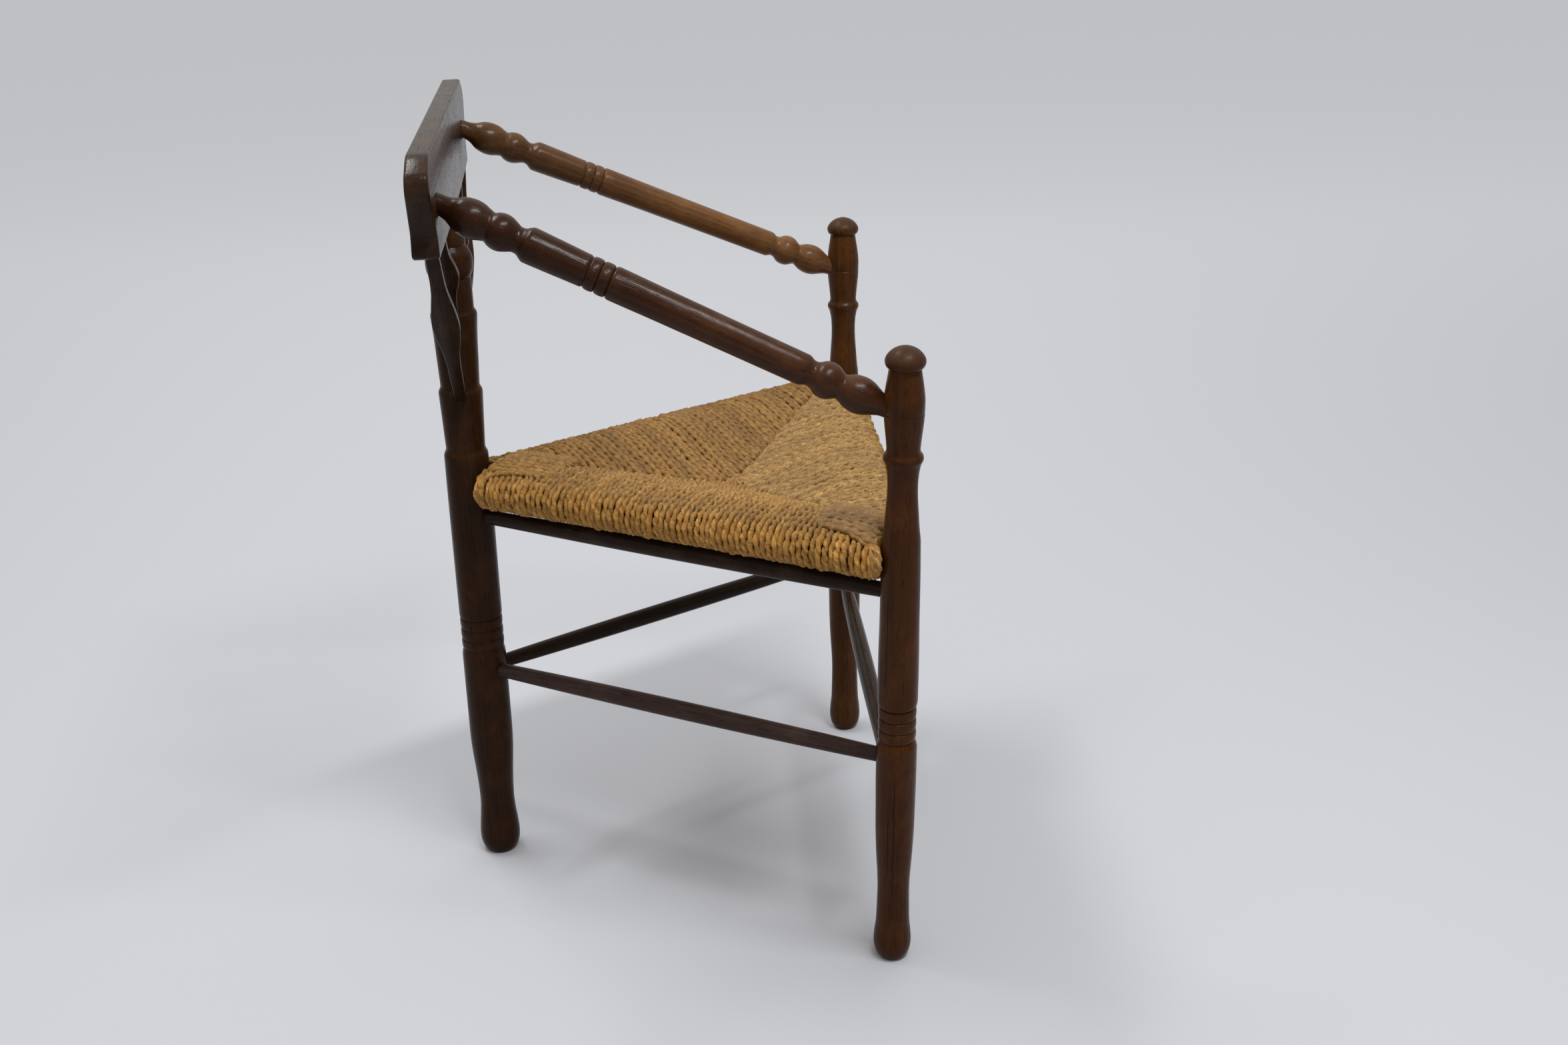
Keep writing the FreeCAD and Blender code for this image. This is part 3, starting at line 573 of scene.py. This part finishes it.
def rush_leaf_group():
    """Dry rush leaf: fine fibres along the leaf, paler and browner leaves. Tone is one cord's
    own shade. The third input is painted light: it makes the cords over the outer edge brighter and more orange, where
    the lamps from above leave the edge dark."""
    group, given, out = new_group(
        "rush_leaf",
        [("Map", "Vector", None), ("Tone", "Float", 0.5), ("Painted_light", "Float", 0.0),
         ("Straw", "Color", (0.4, 0.22, 0.08, 1)), ("Pale", "Color", (0.6, 0.4, 0.17, 1)),
         ("Brown", "Color", (0.16, 0.07, 0.02, 1))],
        [("Color", "Color"), ("Roughness", "Float"), ("Height", "Float")])
    shift = wired(group, "CombineXYZ", (), X=shaded(group, "MULTIPLY", given["Tone"], 37.0),
                  Y=shaded(group, "MULTIPLY", given["Tone"], 11.0), Z=given["Tone"]).outputs[0]
    leaf_way = wired(group, "VectorMath", {"operation": "MULTIPLY"}, i0=given["Map"], i1=(75.0, 4.0, 1.0)).outputs[0]
    leaf_way = wired(group, "VectorMath", {"operation": "ADD"}, i0=leaf_way, i1=shift).outputs[0]
    leaf = wired(group, "TexNoise", (), Vector=leaf_way, Scale=1.0, Detail=3.0, Roughness=0.6).outputs["Fac"]
    fibre_way = wired(group, "VectorMath", {"operation": "MULTIPLY"}, i0=given["Map"],
                      i1=(95.0, 22.0, 1.0)).outputs[0]
    fibre_way = wired(group, "VectorMath", {"operation": "ADD"}, i0=fibre_way, i1=shift).outputs[0]
    fibre = wired(group, "TexNoise", (), Vector=fibre_way, Scale=1.0, Detail=4.0, Roughness=0.65).outputs["Fac"]
    pale = stepped(group, shaded(group, "MULTIPLY_ADD", leaf, 0.6, shaded(group, "MULTIPLY", fibre, 0.4)), 0.44, 0.66)
    brown = stepped(group, shaded(group, "MULTIPLY_ADD", leaf, -0.5, shaded(group, "MULTIPLY", fibre, -0.5)),
                    -0.43, -0.27)
    colour = blended(group, pale, given["Straw"], given["Pale"])
    colour = blended(group, brown, colour, given["Brown"])
    whole = shaded(group, "MULTIPLY_ADD", given["Tone"], 0.34, 0.86)
    grey = wired(group, "CombineColor", (), Red=whole, Green=whole, Blue=whole).outputs[0]
    colour = blended(group, 1.0, colour, grey, "MULTIPLY")
    # Painted light: cords over the outer edge are made brighter and more orange, where the lamps from above leave the
    # edge dark.
    painted_lit_colour = blended(group, 1.0, colour, (1.5, 1.42, 1.2, 1), "MULTIPLY")
    colour = blended(group, given["Painted_light"], colour, painted_lit_colour)
    group.links.new(colour, out["Color"])
    group.links.new(shaded(group, "MULTIPLY_ADD", fibre, 0.25, 0.42), out["Roughness"])
    group.links.new(fibre, out["Height"])
    return group


rush_leaf = rush_leaf_group()


def rush_finish(name, straw, pale, brown):
    """Material for the cords of one panel."""
    material, tree = new_finish(name)
    chart = wired(tree, "UVMap", {"uv_map": "along_cord"}).outputs[0]
    tone = wired(tree, "Attribute", {"attribute_name": "cord_tone"}).outputs["Fac"]
    leaf = tree.nodes.new("ShaderNodeGroup")
    leaf.node_tree = rush_leaf
    tree.links.new(chart, leaf.inputs["Map"])
    tree.links.new(tone, leaf.inputs["Tone"])
    painted_edge_light = wired(tree, "Attribute", {"attribute_name": "painted_edge_light"}).outputs["Fac"]
    tree.links.new(painted_edge_light, leaf.inputs["Painted_light"])
    for label, colour in (("Straw", straw), ("Pale", pale), ("Brown", brown)):
        leaf.inputs[label].default_value = (*colour, 1)
    bump = wired(tree, "Bump", (), Height=leaf.outputs["Height"], Strength=0.9, Distance=0.0012)
    shader = wired(tree, "BsdfPrincipled", (), Base_Color=leaf.outputs["Color"], Roughness=leaf.outputs["Roughness"],
                   Normal=bump.outputs[0], IOR=1.45)
    show(tree, shader)
    return material


def corner_seam(away, angle, covered):
    """How far inward a cord runs before it meets the next panel. Within the covered stretch
    beside a post it ends just over the edge, under the strands that cross the corner."""
    return short_cord if away < covered else away * math.tan(angle / 2)


def inward_from(start, end, opposite):
    """Level direction from a rail towards the opposite corner."""
    along = (end - start).normalized()
    inward = opposite - start
    return (inward - along * inward.dot(along)).normalized()


def empty_store():
    """Lists that the cords of one piece are gathered in."""
    return {"points": [], "faces": [], "uv": [], "tone": [], "painted_edge_light": [], "wrap": []}


def rush_panel(name, start, end, opposite, clears, covered, bulk, seed, material):
    """Cords of one panel, side by side along a rail, from the seam over the rail and back. The
    first and last cord keep clear of the posts, and bulk is how far the edge stands out."""
    draw = random.Random(seed)
    store = empty_store()
    along = (end - start).normalized()
    length = (end - start).length / mm
    inward = inward_from(start, end, opposite)
    angles = ((end - start).angle(opposite - start), (start - end).angle(opposite - end))
    count = round((length - sum(clears)) / cord_pitch)
    pitch = (length - sum(clears)) / count
    lift = Vector((0, 0, 1))
    for turn in range(count + 1):
        place = clears[0] + pitch * turn
        radius = pitch * draw.uniform(0.56, 0.65)
        seam = min(corner_seam(place, angles[0], covered[0]), corner_seam(length - place, angles[1], covered[1]))
        seam += draw.uniform(-2.0, 1.5)
        shape = [(seam + 1.0, read_off(rush_top, seam) - 9.0), (seam - 1.0, read_off(rush_top, seam) - 2.8)]
        inner = seam - 6.0
        while inner > 4.0:
            shape.append((inner, read_off(rush_top, inner) + draw.uniform(-0.5, 0.5)))
            inner -= 16.0
        shape += rush_edge
        inner = 12.0
        while inner < seam - 6.0:
            shape.append((inner, read_off(rush_under, inner)))
            inner += 24.0
        shape.append((max(seam, 14.0) - 1.0, read_off(rush_under, seam)))
        bulge = draw.uniform(-1.1, 1.1)
        sway = draw.uniform(-1.2, 1.2)
        sway_rate = draw.uniform(0.02, 0.06)
        path = []
        for distance, height in shape:
            point = (start / mm) + along * (place + sway * math.sin(distance * sway_rate))
            if distance < 0:
                out_way = Vector((distance, height)).normalized()
                point += (inward * (distance * bulk - out_way.x * (cord_sink + bulge))
                          + lift * (height - out_way.y * cord_sink))
            else:
                upper = height > -edge_dip if distance else height > 0
                point += inward * distance + lift * (height - cord_sink if upper else height + cord_sink)
            path.append(point)
        lay_cord(store, path, radius, seed * 1000 + turn, draw.random(), start, inward)
    return weave(name, store, material)


def corner_strands(name, corner, other, opposite, clear, reach, tips, flanks, rise, loops, wrap, seed, material):
    """The last cords at a post. They run from the post, a flank distance inward, to their tips
    over the ends of the cords beside them. Loops are those that go down round the corner."""
    draw = random.Random(seed)
    store = empty_store()
    along = (other - corner).normalized()
    inward = inward_from(corner, other, opposite)
    lift = Vector((0, 0, 1))
    count = len(tips)
    for turn, (tip, flank) in enumerate(zip(tips, flanks)):
        high = rise * math.sin(math.pi * (turn + 0.8) / (count + 1)) + 19.5
        shape = [(clear - 1.0, flank, 2.0), (clear + 1.0, flank, high - 7.0), (clear + 9.0, flank, high - 1.0),
                 (clear + (reach - clear) * 0.45, flank + (tip - flank) * 0.35, high + draw.uniform(-0.6, 0.6)),
                 (clear + (reach - clear) * 0.75, flank + (tip - flank) * 0.75, high - 0.5 + draw.uniform(-0.6, 0.6)),
                 (reach - 2.0, tip, high - 2.0), (reach + 4.0, tip + 1.0, high - 10.0)]
        path = [(corner / mm) + along * x + inward * d + lift * z for x, d, z in shape]
        lay_cord(store, path, draw.uniform(3.7, 4.5), seed * 1000 + turn, draw.uniform(0.1, 0.8), corner, inward)
    loop_radius = 3.4
    for turn in range(loops):
        low = loop_radius * turn
        shape = [(reach - 4.0, 3.0 - low * 0.5, 19.5), (reach * 0.62, -2.0 - low * 0.6, 20.5),
                 (reach * 0.42, -8.5 - low * 0.5, 17.5),
                 (clear + 4.5 + low - wrap, -15.5, 12.0), (clear + 1.0 + low * 0.9 - wrap, -20.0, 3.0),
                 (clear + 1.5 + low * 0.9 - wrap, -19.0, -8.0), (clear + 7.0 + low - wrap * 0.6, -12.0, -17.0),
                 (clear + 20.0 + low, -3.0, -19.5)]
        path = [(corner / mm) + along * x + inward * d + lift * z for x, d, z in shape]
        lay_cord(store, path, loop_radius, seed * 1000 + 500 + turn, 0.7, corner, inward)
    return weave(name, store, material)


stuffing_rings = [(-12.0, 7.0, -10.0), (-6.0, 12.0, -14.0), (22.0, 13.0, -15.0), (60.0, 2.5, -17.0),
                  (100.0, -13.0, -19.5), (135.0, -22.0, -23.5)]


def stuffing(name, corners, material):
    """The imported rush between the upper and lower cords, seen only in the gaps: rings of six
    points, two at each corner of the seat, joined above and below."""
    centre = sum(corners, Vector()) / 3
    rings = []
    for pull, top, bottom in stuffing_rings:
        ring = []
        for place, corner in enumerate(corners):
            before = (corners[place - 1] - corner).normalized()
            after = (corners[(place + 1) % 3] - corner).normalized()
            bisector = (before + after).normalized()
            half_angle = before.angle(after) / 2
            clear = max(2.0, 33.0 - pull / math.tan(half_angle))
            for side in (before, after):
                ring.append(corner + bisector * pull * mm / math.sin(half_angle) + side * clear * mm)
        rings.append((ring, top, bottom))
    points = []
    faces = []
    for level in (1, 2):
        for ring in rings:
            points += [stance @ (spot + Vector((0, 0, ring[level] * mm))) for spot in ring[0]]
        points.append(stance @ (centre + Vector((0, 0, rings[-1][level] * mm))))
    half = 6 * len(rings) + 1
    for level in range(2):
        base = level * half
        for row in range(len(rings) - 1):
            for place in range(6):
                quad = (base + row * 6 + place, base + row * 6 + (place + 1) % 6,
                        base + (row + 1) * 6 + (place + 1) % 6, base + (row + 1) * 6 + place)
                faces.append(quad if level == 0 else quad[::-1])
        for place in range(6):
            fan = (base + half - 7 + place, base + half - 7 + (place + 1) % 6, base + half - 1)
            faces.append(fan if level == 0 else fan[::-1])
    for place in range(6):
        faces.append((place, half + place, half + (place + 1) % 6, (place + 1) % 6))
    mesh = bpy.data.meshes.new(name)
    mesh.from_pydata(points, [], faces)
    piece = bpy.data.objects.new(name, mesh)
    bpy.context.collection.objects.link(piece)
    pick(piece)
    bpy.ops.object.mode_set(mode="EDIT")
    bpy.ops.mesh.select_all(action="SELECT")
    bpy.ops.mesh.normals_make_consistent(inside=False)
    bpy.ops.object.mode_set(mode="OBJECT")
    soften = piece.modifiers.new("soften", "SUBSURF")
    soften.levels = 2
    soften.render_levels = 2
    bpy.ops.object.modifier_apply(modifier=soften.name)
    mesh.polygons.foreach_set("use_smooth", [True] * len(mesh.polygons))
    finished(piece, material, "rush", "rush_seat")
    return piece


def stuffing_finish():
    """Broken brown leaf, in the shadow between the cords."""
    material, tree = new_finish("rush_stuffing")
    place = wired(tree, "TexCoord").outputs["Object"]
    chaff = wired(tree, "TexNoise", (), Vector=place, Scale=420.0, Detail=4.0, Roughness=0.7).outputs["Fac"]
    colour = blended(tree, stepped(tree, chaff, 0.42, 0.64), (0.022, 0.011, 0.005, 1), (0.11, 0.052, 0.018, 1))
    bump = wired(tree, "Bump", (), Height=chaff, Strength=0.8, Distance=0.002)
    shader = wired(tree, "BsdfPrincipled", (), Base_Color=colour, Roughness=0.8, Normal=bump.outputs[0])
    show(tree, shader)
    return material


left_corner, right_corner, back_corner = seat_corners
# Each panel has its own straw colours: partly the rush's own tone, and partly painted light and shade, with the front
# panel paler where it is lit and the far panel darker.
near_rush = rush_finish("rush_left", (0.262, 0.128, 0.027), (0.44, 0.254, 0.064), (0.085, 0.036, 0.008))
far_rush = rush_finish("rush_right", (0.205, 0.097, 0.018), (0.325, 0.180, 0.044), (0.065, 0.028, 0.006))
front_rush = rush_finish("rush_front", (0.27, 0.146, 0.038), (0.42, 0.258, 0.080), (0.10, 0.046, 0.012))
corner_rush = rush_finish("rush_corner", (0.235, 0.122, 0.034), (0.36, 0.212, 0.070), (0.075, 0.034, 0.010))
rush_panel("rush_panel_left", back_corner, left_corner, right_corner, (26.5, 21.5),
           (back_corner_reach, near_corner_reach), 1.0, 11, near_rush)
rush_panel("rush_panel_right", right_corner, back_corner, left_corner, (21.5, 26.5), (0.0, 0.0), 1.0, 12, far_rush)
rush_panel("rush_panel_front", left_corner, right_corner, back_corner, (21.5, 21.5), (0.0, 0.0), 0.74, 13, front_rush)
corner_strands("rush_corner_back", back_corner, left_corner, right_corner, 25.0, back_corner_reach,
               [5.0, 10.0, 16.0, 22.0, 28.0, 34.0, 40.0, 46.0, 52.0, 58.0],
               [1.0, 6.5, 12.0, 17.5, 23.0, 28.5, 34.0, 39.5, 45.0, 50.5], 4.5, 2, 0.0, 14, near_rush)
corner_strands("rush_corner_left", left_corner, back_corner, right_corner, 20.5, near_corner_reach,
               [5.0, 9.0, 14.0, 19.5, 25.5, 31.5, 37.5, 43.5, 49.0],
               [-11.0, -4.5, 2.0, 8.0, 14.0, 20.0, 26.0, 32.0, 38.0], 6.0, 3, 8.5, 15, corner_rush)
stuffing("rush_stuffing", seat_corners, stuffing_finish())


# Splats. Four thin blades with a swelling outline, two a side, housed in the back post's
# steps below and in the underside of the crest board above.
crest_foot = 741.0
crest_turn = math.radians(3.6)
crest_frame = Matrix.Translation((0, back_post_at(crest_foot).y, 0)) @ Matrix.Rotation(crest_turn, 4, "Z")
splat_thickness = 6.5
splat_widths = [(-0.03, 11.6), (0.1, 12.2), (0.18, 12.6), (0.27, 13.2), (0.36, 15.6), (0.46, 21.4), (0.56, 25.2),
                (0.66, 21.8), (0.77, 15.2), (0.84, 13.0), (0.9, 12.5), (1.02, 11.8)]


def crest_spot(along, through, height):
    return crest_frame @ (Vector((along, through, height)) * mm)


def saw_board(thickness):
    """Fill the selected outline and give it its thickness."""
    bpy.ops.mesh.edge_face_add()
    bpy.ops.mesh.extrude_region_move(TRANSFORM_OT_translate={"value": thickness})
    bpy.ops.mesh.select_all(action="SELECT")
    bpy.ops.mesh.normals_make_consistent(inside=False)
    bpy.ops.object.mode_set(mode="OBJECT")


def splat(name, side, spread, step_height, step_radius):
    """Blade from the back post's step to the crest, as a sawn outline with eased edges."""
    low = back_post_at(step_height - 2.5) + Vector((side * (step_radius - 2.0), -2.5, 0)) * mm
    high = crest_spot(side * spread, -4.0, crest_foot)
    length = (high - low).length
    heading = (high - low).normalized()
    across = (Vector((0, -1, 0)) + heading * heading.y).normalized()
    through = heading.cross(across)
    edge = fair_line([Vector((share * length, width * mm / 2, 0)) for share, width in splat_widths], 0.004)
    one_edge = [Vector((p.x, p.y, 0)) for p in edge]
    other_edge = [Vector((p.x, -p.y, 0)) for p in reversed(edge)]
    blade = draw_line(name, one_edge + other_edge)
    bpy.ops.transform.translate(value=(0, 0, -splat_thickness / 2 * mm))
    saw_board((0, 0, splat_thickness * mm))
    ease_arrises(blade, 1.2 * mm, 3)
    turned = Matrix((heading, across, through)).transposed().to_4x4()
    set_in_place(blade, stance @ Matrix.Translation(low) @ turned)
    bpy.ops.object.shade_smooth_by_angle(angle=math.radians(40))
    oak = stained_oak(name + "_oak", (0.024, 0.0115, 0.0058), (0.010, 0.0048, 0.0026), (0.06, 0.030, 0.016), low, high,
                      figure=0.5, pores=0.6, wear=0.5, gloss=0.035)
    finished(blade, oak, "splat_wood", name.replace("sawn_", ""))


def ease_arrises(board, width, segments):
    """Round every sharp edge of a sawn board."""
    bevel = board.modifiers.new("arrises", "BEVEL")
    bevel.width = width
    bevel.segments = segments
    bevel.limit_method = "ANGLE"
    bevel.angle_limit = math.radians(50)
    bpy.context.view_layer.objects.active = board
    bpy.ops.object.modifier_apply(modifier=bevel.name)


for hand, side in (("left", -1), ("right", 1)):
    splat("sawn_splat_outer_" + hand, side, 235.0, 550.5, 22.4)
    splat("sawn_splat_inner_" + hand, side, 150.0, 631.5, 23.4)


# Crest board. One wide board, sawn with a tapered end each side and a straight top, thinner
# to the top, its arrises rubbed round. It sits on the back post turned a few degrees.
crest_half_length = 251.0
end_moves = [(16.0, -38.0), (42.6, 0.0), (16.0, 38.0), (13.0, 63.0), (16.0, 0.0), (34.0, 27.0)]


def end_curve():
    """Right end of the board as (along, height) in mm, from the bottom corner to the top. Each
    move after the corner is a radius and a turn in degrees, or a length where it goes straight."""
    corner_along, corner_radius = 244.0, 7.0
    spots = [(corner_along, 740.4)]
    for turn in range(1, 7):
        angle = math.radians(-90 + 15 * turn)
        spots.append((corner_along + corner_radius * math.cos(angle), 747.9 + corner_radius * math.sin(angle)))
    place = Vector((crest_half_length, 755.0))
    heading = math.radians(90)
    spots.append(tuple(place))
    for size, turn in end_moves:
        ahead = Vector((math.cos(heading), math.sin(heading)))
        if turn == 0:
            place = place + ahead * size
            spots.append(tuple(place))
            continue
        hand = math.copysign(1, turn)
        centre = place + Vector((-ahead.y, ahead.x)) * size * hand
        cuts = max(3, round(abs(turn) / 9))
        for cut in range(1, cuts + 1):
            swing = heading - hand * math.pi / 2 + math.radians(turn) * cut / cuts
            spots.append((centre.x + size * math.cos(swing), centre.y + size * math.sin(swing)))
        place = Vector(spots[-1])
        heading += math.radians(turn)
    return spots


crest_thickness = 24.0
crest_thinning = 5.0
crest_height = 91.0
right_end = end_curve()
left_end = [(-along, height) for along, height in reversed(right_end)]
low_edge = [(along, 737.0 + 4.0 * (along / crest_half_length) ** 2) for along in range(-236, 237, 8)]
outline = right_end + left_end + low_edge
crest = draw_line("sawn_crest", [Vector((along, -crest_thickness / 2, height)) * mm for along, height in outline])
saw_board((0, crest_thickness * mm, 0))
for vertex in crest.data.vertices:
    if vertex.co.y > 0:
        vertex.co.y -= crest_thinning * mm * max(0.0, vertex.co.z / mm - crest_foot) / crest_height
ease_arrises(crest, 2.6 * mm, 4)
set_in_place(crest, stance @ crest_frame)
bpy.ops.object.shade_smooth_by_angle(angle=math.radians(40))
finished(crest, stained_oak("crest_oak", (0.024, 0.0110, 0.0055), (0.010, 0.0046, 0.0024), (0.07, 0.037, 0.021),
                            crest_spot(-250, 0, 790), crest_spot(250, 0, 790), figure=0.6, pores=0.5, wear=0.4,
                            gloss=0.10), "crest_wood", "crest")


# Arms. Each is one stick of oak, turned with a pear and a ball at both ends and two beads
# along the shaft, and runs straight from the crest's face down into the front post.
def darker_at_crest(tree, along, colour, rough):
    """Colour made darker along the arm towards the crest end."""
    height = wired(tree, "SeparateXYZ", (), Vector=along).outputs["Z"]
    dark = blended(tree, 1.0, colour, (0.62, 0.62, 0.66, 1), "MULTIPLY")
    return blended(tree, stepped(tree, height, 0.10, 0.27), dark, colour), rough


def arm(hand, side, post_at, stain, shade, rubbed):
    start = crest_spot(side * 215.0, -12.0, 782)
    end = post_at(588.5)
    face = (end - start).length / mm - 20.6
    runs = [
        [(-6.0, 8.6), (0.0, 9.0), (5.0, 9.2), (12.0, 11.0), (20.0, 15.3), (29.4, 17.2), (37.0, 16.6), (43.0, 14.6),
         (46.8, 13.4)],
        [(46.8, 13.4), (48.5, 13.6), (51.0, 15.0), (54.5, 16.2), (58.5, 16.6), (63.0, 16.0), (68.0, 14.0),
         (72.5, 11.9), (75.0, 11.7), (77.5, 12.2), (80.5, 14.2), (83.0, 15.7)],
        [(83.0, 15.7), (85.0, 16.1), (100.0, 15.8), (120.0, 15.3), (137.6, 14.8)],
        [(137.6, 14.8), (139.8, 13.4)],
    ] + beads([139.8, 150.1, 160.7], 13.3, 15.3) + [
        [(160.7, 13.2), (161.8, 14.8), (164.5, 15.4), (200.0, 15.0), (258.6, 14.6), (face - 76.5, 14.2)],
        [(face - 76.5, 14.2), (face - 74.5, 13.6), (face - 70.5, 11.7), (face - 67.5, 11.6)],
        [(face - 67.5, 11.6), (face - 65.0, 12.6), (face - 60.5, 15.6), (face - 55.0, 16.8), (face - 49.0, 16.0),
         (face - 43.5, 13.0), (face - 41.5, 11.8)],
        [(face - 41.5, 11.8), (face - 39.5, 11.9), (face - 37.0, 13.2), (face - 31.0, 15.8), (face - 22.0, 16.9),
         (face - 15.0, 15.6), (face - 8.0, 12.6), (face - 3.0, 10.4), (face, 9.5), (face + 6.0, 9.0)],
    ]
    stick = turn_on_lathe("turned_arm_" + hand, turner_outline(runs), aimed(start, end))
    set_in_place(stick, stance)
    oak = stained_oak("arm_oak_" + hand, stain, shade, rubbed, start, end, figure=0.6, pores=0.55, wear=0.35,
                      gloss=0.12, marks=darker_at_crest)
    finished(stick, oak, "arm_wood", "arm_" + hand)


arm("left", -1, left_post_at, (0.052, 0.0185, 0.0075), (0.019, 0.0076, 0.0038), (0.10, 0.042, 0.018))
arm("right", 1, right_post_at, (0.138, 0.061, 0.021), (0.055, 0.024, 0.010), (0.22, 0.105, 0.038))
for hand, post_at in (("left", left_post_at), ("right", right_post_at)):
    refinish("arm_peg_" + hand, stained_oak("peg_oak_" + hand, (0.10, 0.055, 0.03), (0.03, 0.015, 0.008),
                                            (0.16, 0.09, 0.05), post_at(560), post_at(620), gloss=0.1))


# Floor, light and camera. A plain pale floor, painted paler further off where the lamps light
# it less, a soft sky and two long ceiling lights, seen from the chair's left side and a little above the crest.
bpy.ops.object.select_all(action="DESELECT")
bpy.ops.mesh.primitive_plane_add(size=60.0)
floor = bpy.context.active_object
floor.name = "studio_floor"
pale = bpy.data.materials.new("pale_floor")
pale.use_nodes = True
tree = pale.node_tree
away = wired(tree, "SeparateXYZ", (), Vector=wired(tree, "TexCoord").outputs["Object"]).outputs["X"]
# Painted light: the floor's colour is paler further from the chair, where less lamp light reaches it.
near_grey = (0.46, 0.47, 0.505, 1)
far_grey = (0.68, 0.70, 0.755, 1)
floor_shader = tree.nodes["Principled BSDF"]
floor_shader.inputs["Roughness"].default_value = 0.9
tree.links.new(blended(tree, stepped(tree, away, 0.2, 3.5), near_grey, far_grey), floor_shader.inputs["Base Color"])
floor.data.materials.append(pale)

sky = bpy.data.worlds.new("soft_sky")
bpy.context.scene.world = sky
sky.use_nodes = True
tree = sky.node_tree
way = wired(tree, "SeparateXYZ", (), Vector=wired(tree, "TexCoord").outputs["Generated"])
overhead = stepped(tree, way.outputs["Z"], -0.05, 0.85)
wall_side = stepped(tree, way.outputs["X"], -0.3, 0.9)
bright = shaded(tree, "MULTIPLY_ADD", overhead, 0.62, 0.16)
bright = shaded(tree, "MULTIPLY_ADD", wall_side, 0.28, bright)
background = tree.nodes["Background"]
background.inputs["Color"].default_value = (1.0, 0.985, 0.955, 1)
tree.links.new(bright, background.inputs["Strength"])
light_length = 1.2
light_width = 0.22
chair_middle = Vector((0, 0, 0.5))


def ceiling_light(name, place, watts):
    """Long soft light that hangs at a place and looks at the middle of the chair."""
    lamp = bpy.data.lights.new(name, "AREA")
    lamp.shape = "RECTANGLE"
    lamp.size = light_length
    lamp.size_y = light_width
    lamp.energy = watts
    holder = bpy.data.objects.new(name, lamp)
    bpy.context.collection.objects.link(holder)
    holder.location = place
    holder.rotation_euler = (chair_middle - Vector(place)).to_track_quat("-Z", "Y").to_euler()


ceiling_light("ceiling_near", (-1.0, -0.7, 2.7), 42.0)
ceiling_light("ceiling_back", (0.5, 0.9, 2.7), 26.0)

eye = bpy.data.cameras.new("photo_eye")
eye.lens = 38.283
eye.sensor_width = 36.0
eye.clip_end = 200.0
camera = bpy.data.objects.new("photo_eye", eye)
bpy.context.collection.objects.link(camera)
camera.location = (-1.65412, -0.02391, 1.04931)
camera.rotation_euler = (math.radians(68.0854), math.radians(1.1857), math.radians(-93.7895))
bpy.context.scene.camera = camera
bpy.context.scene.view_settings.view_transform = "Standard"
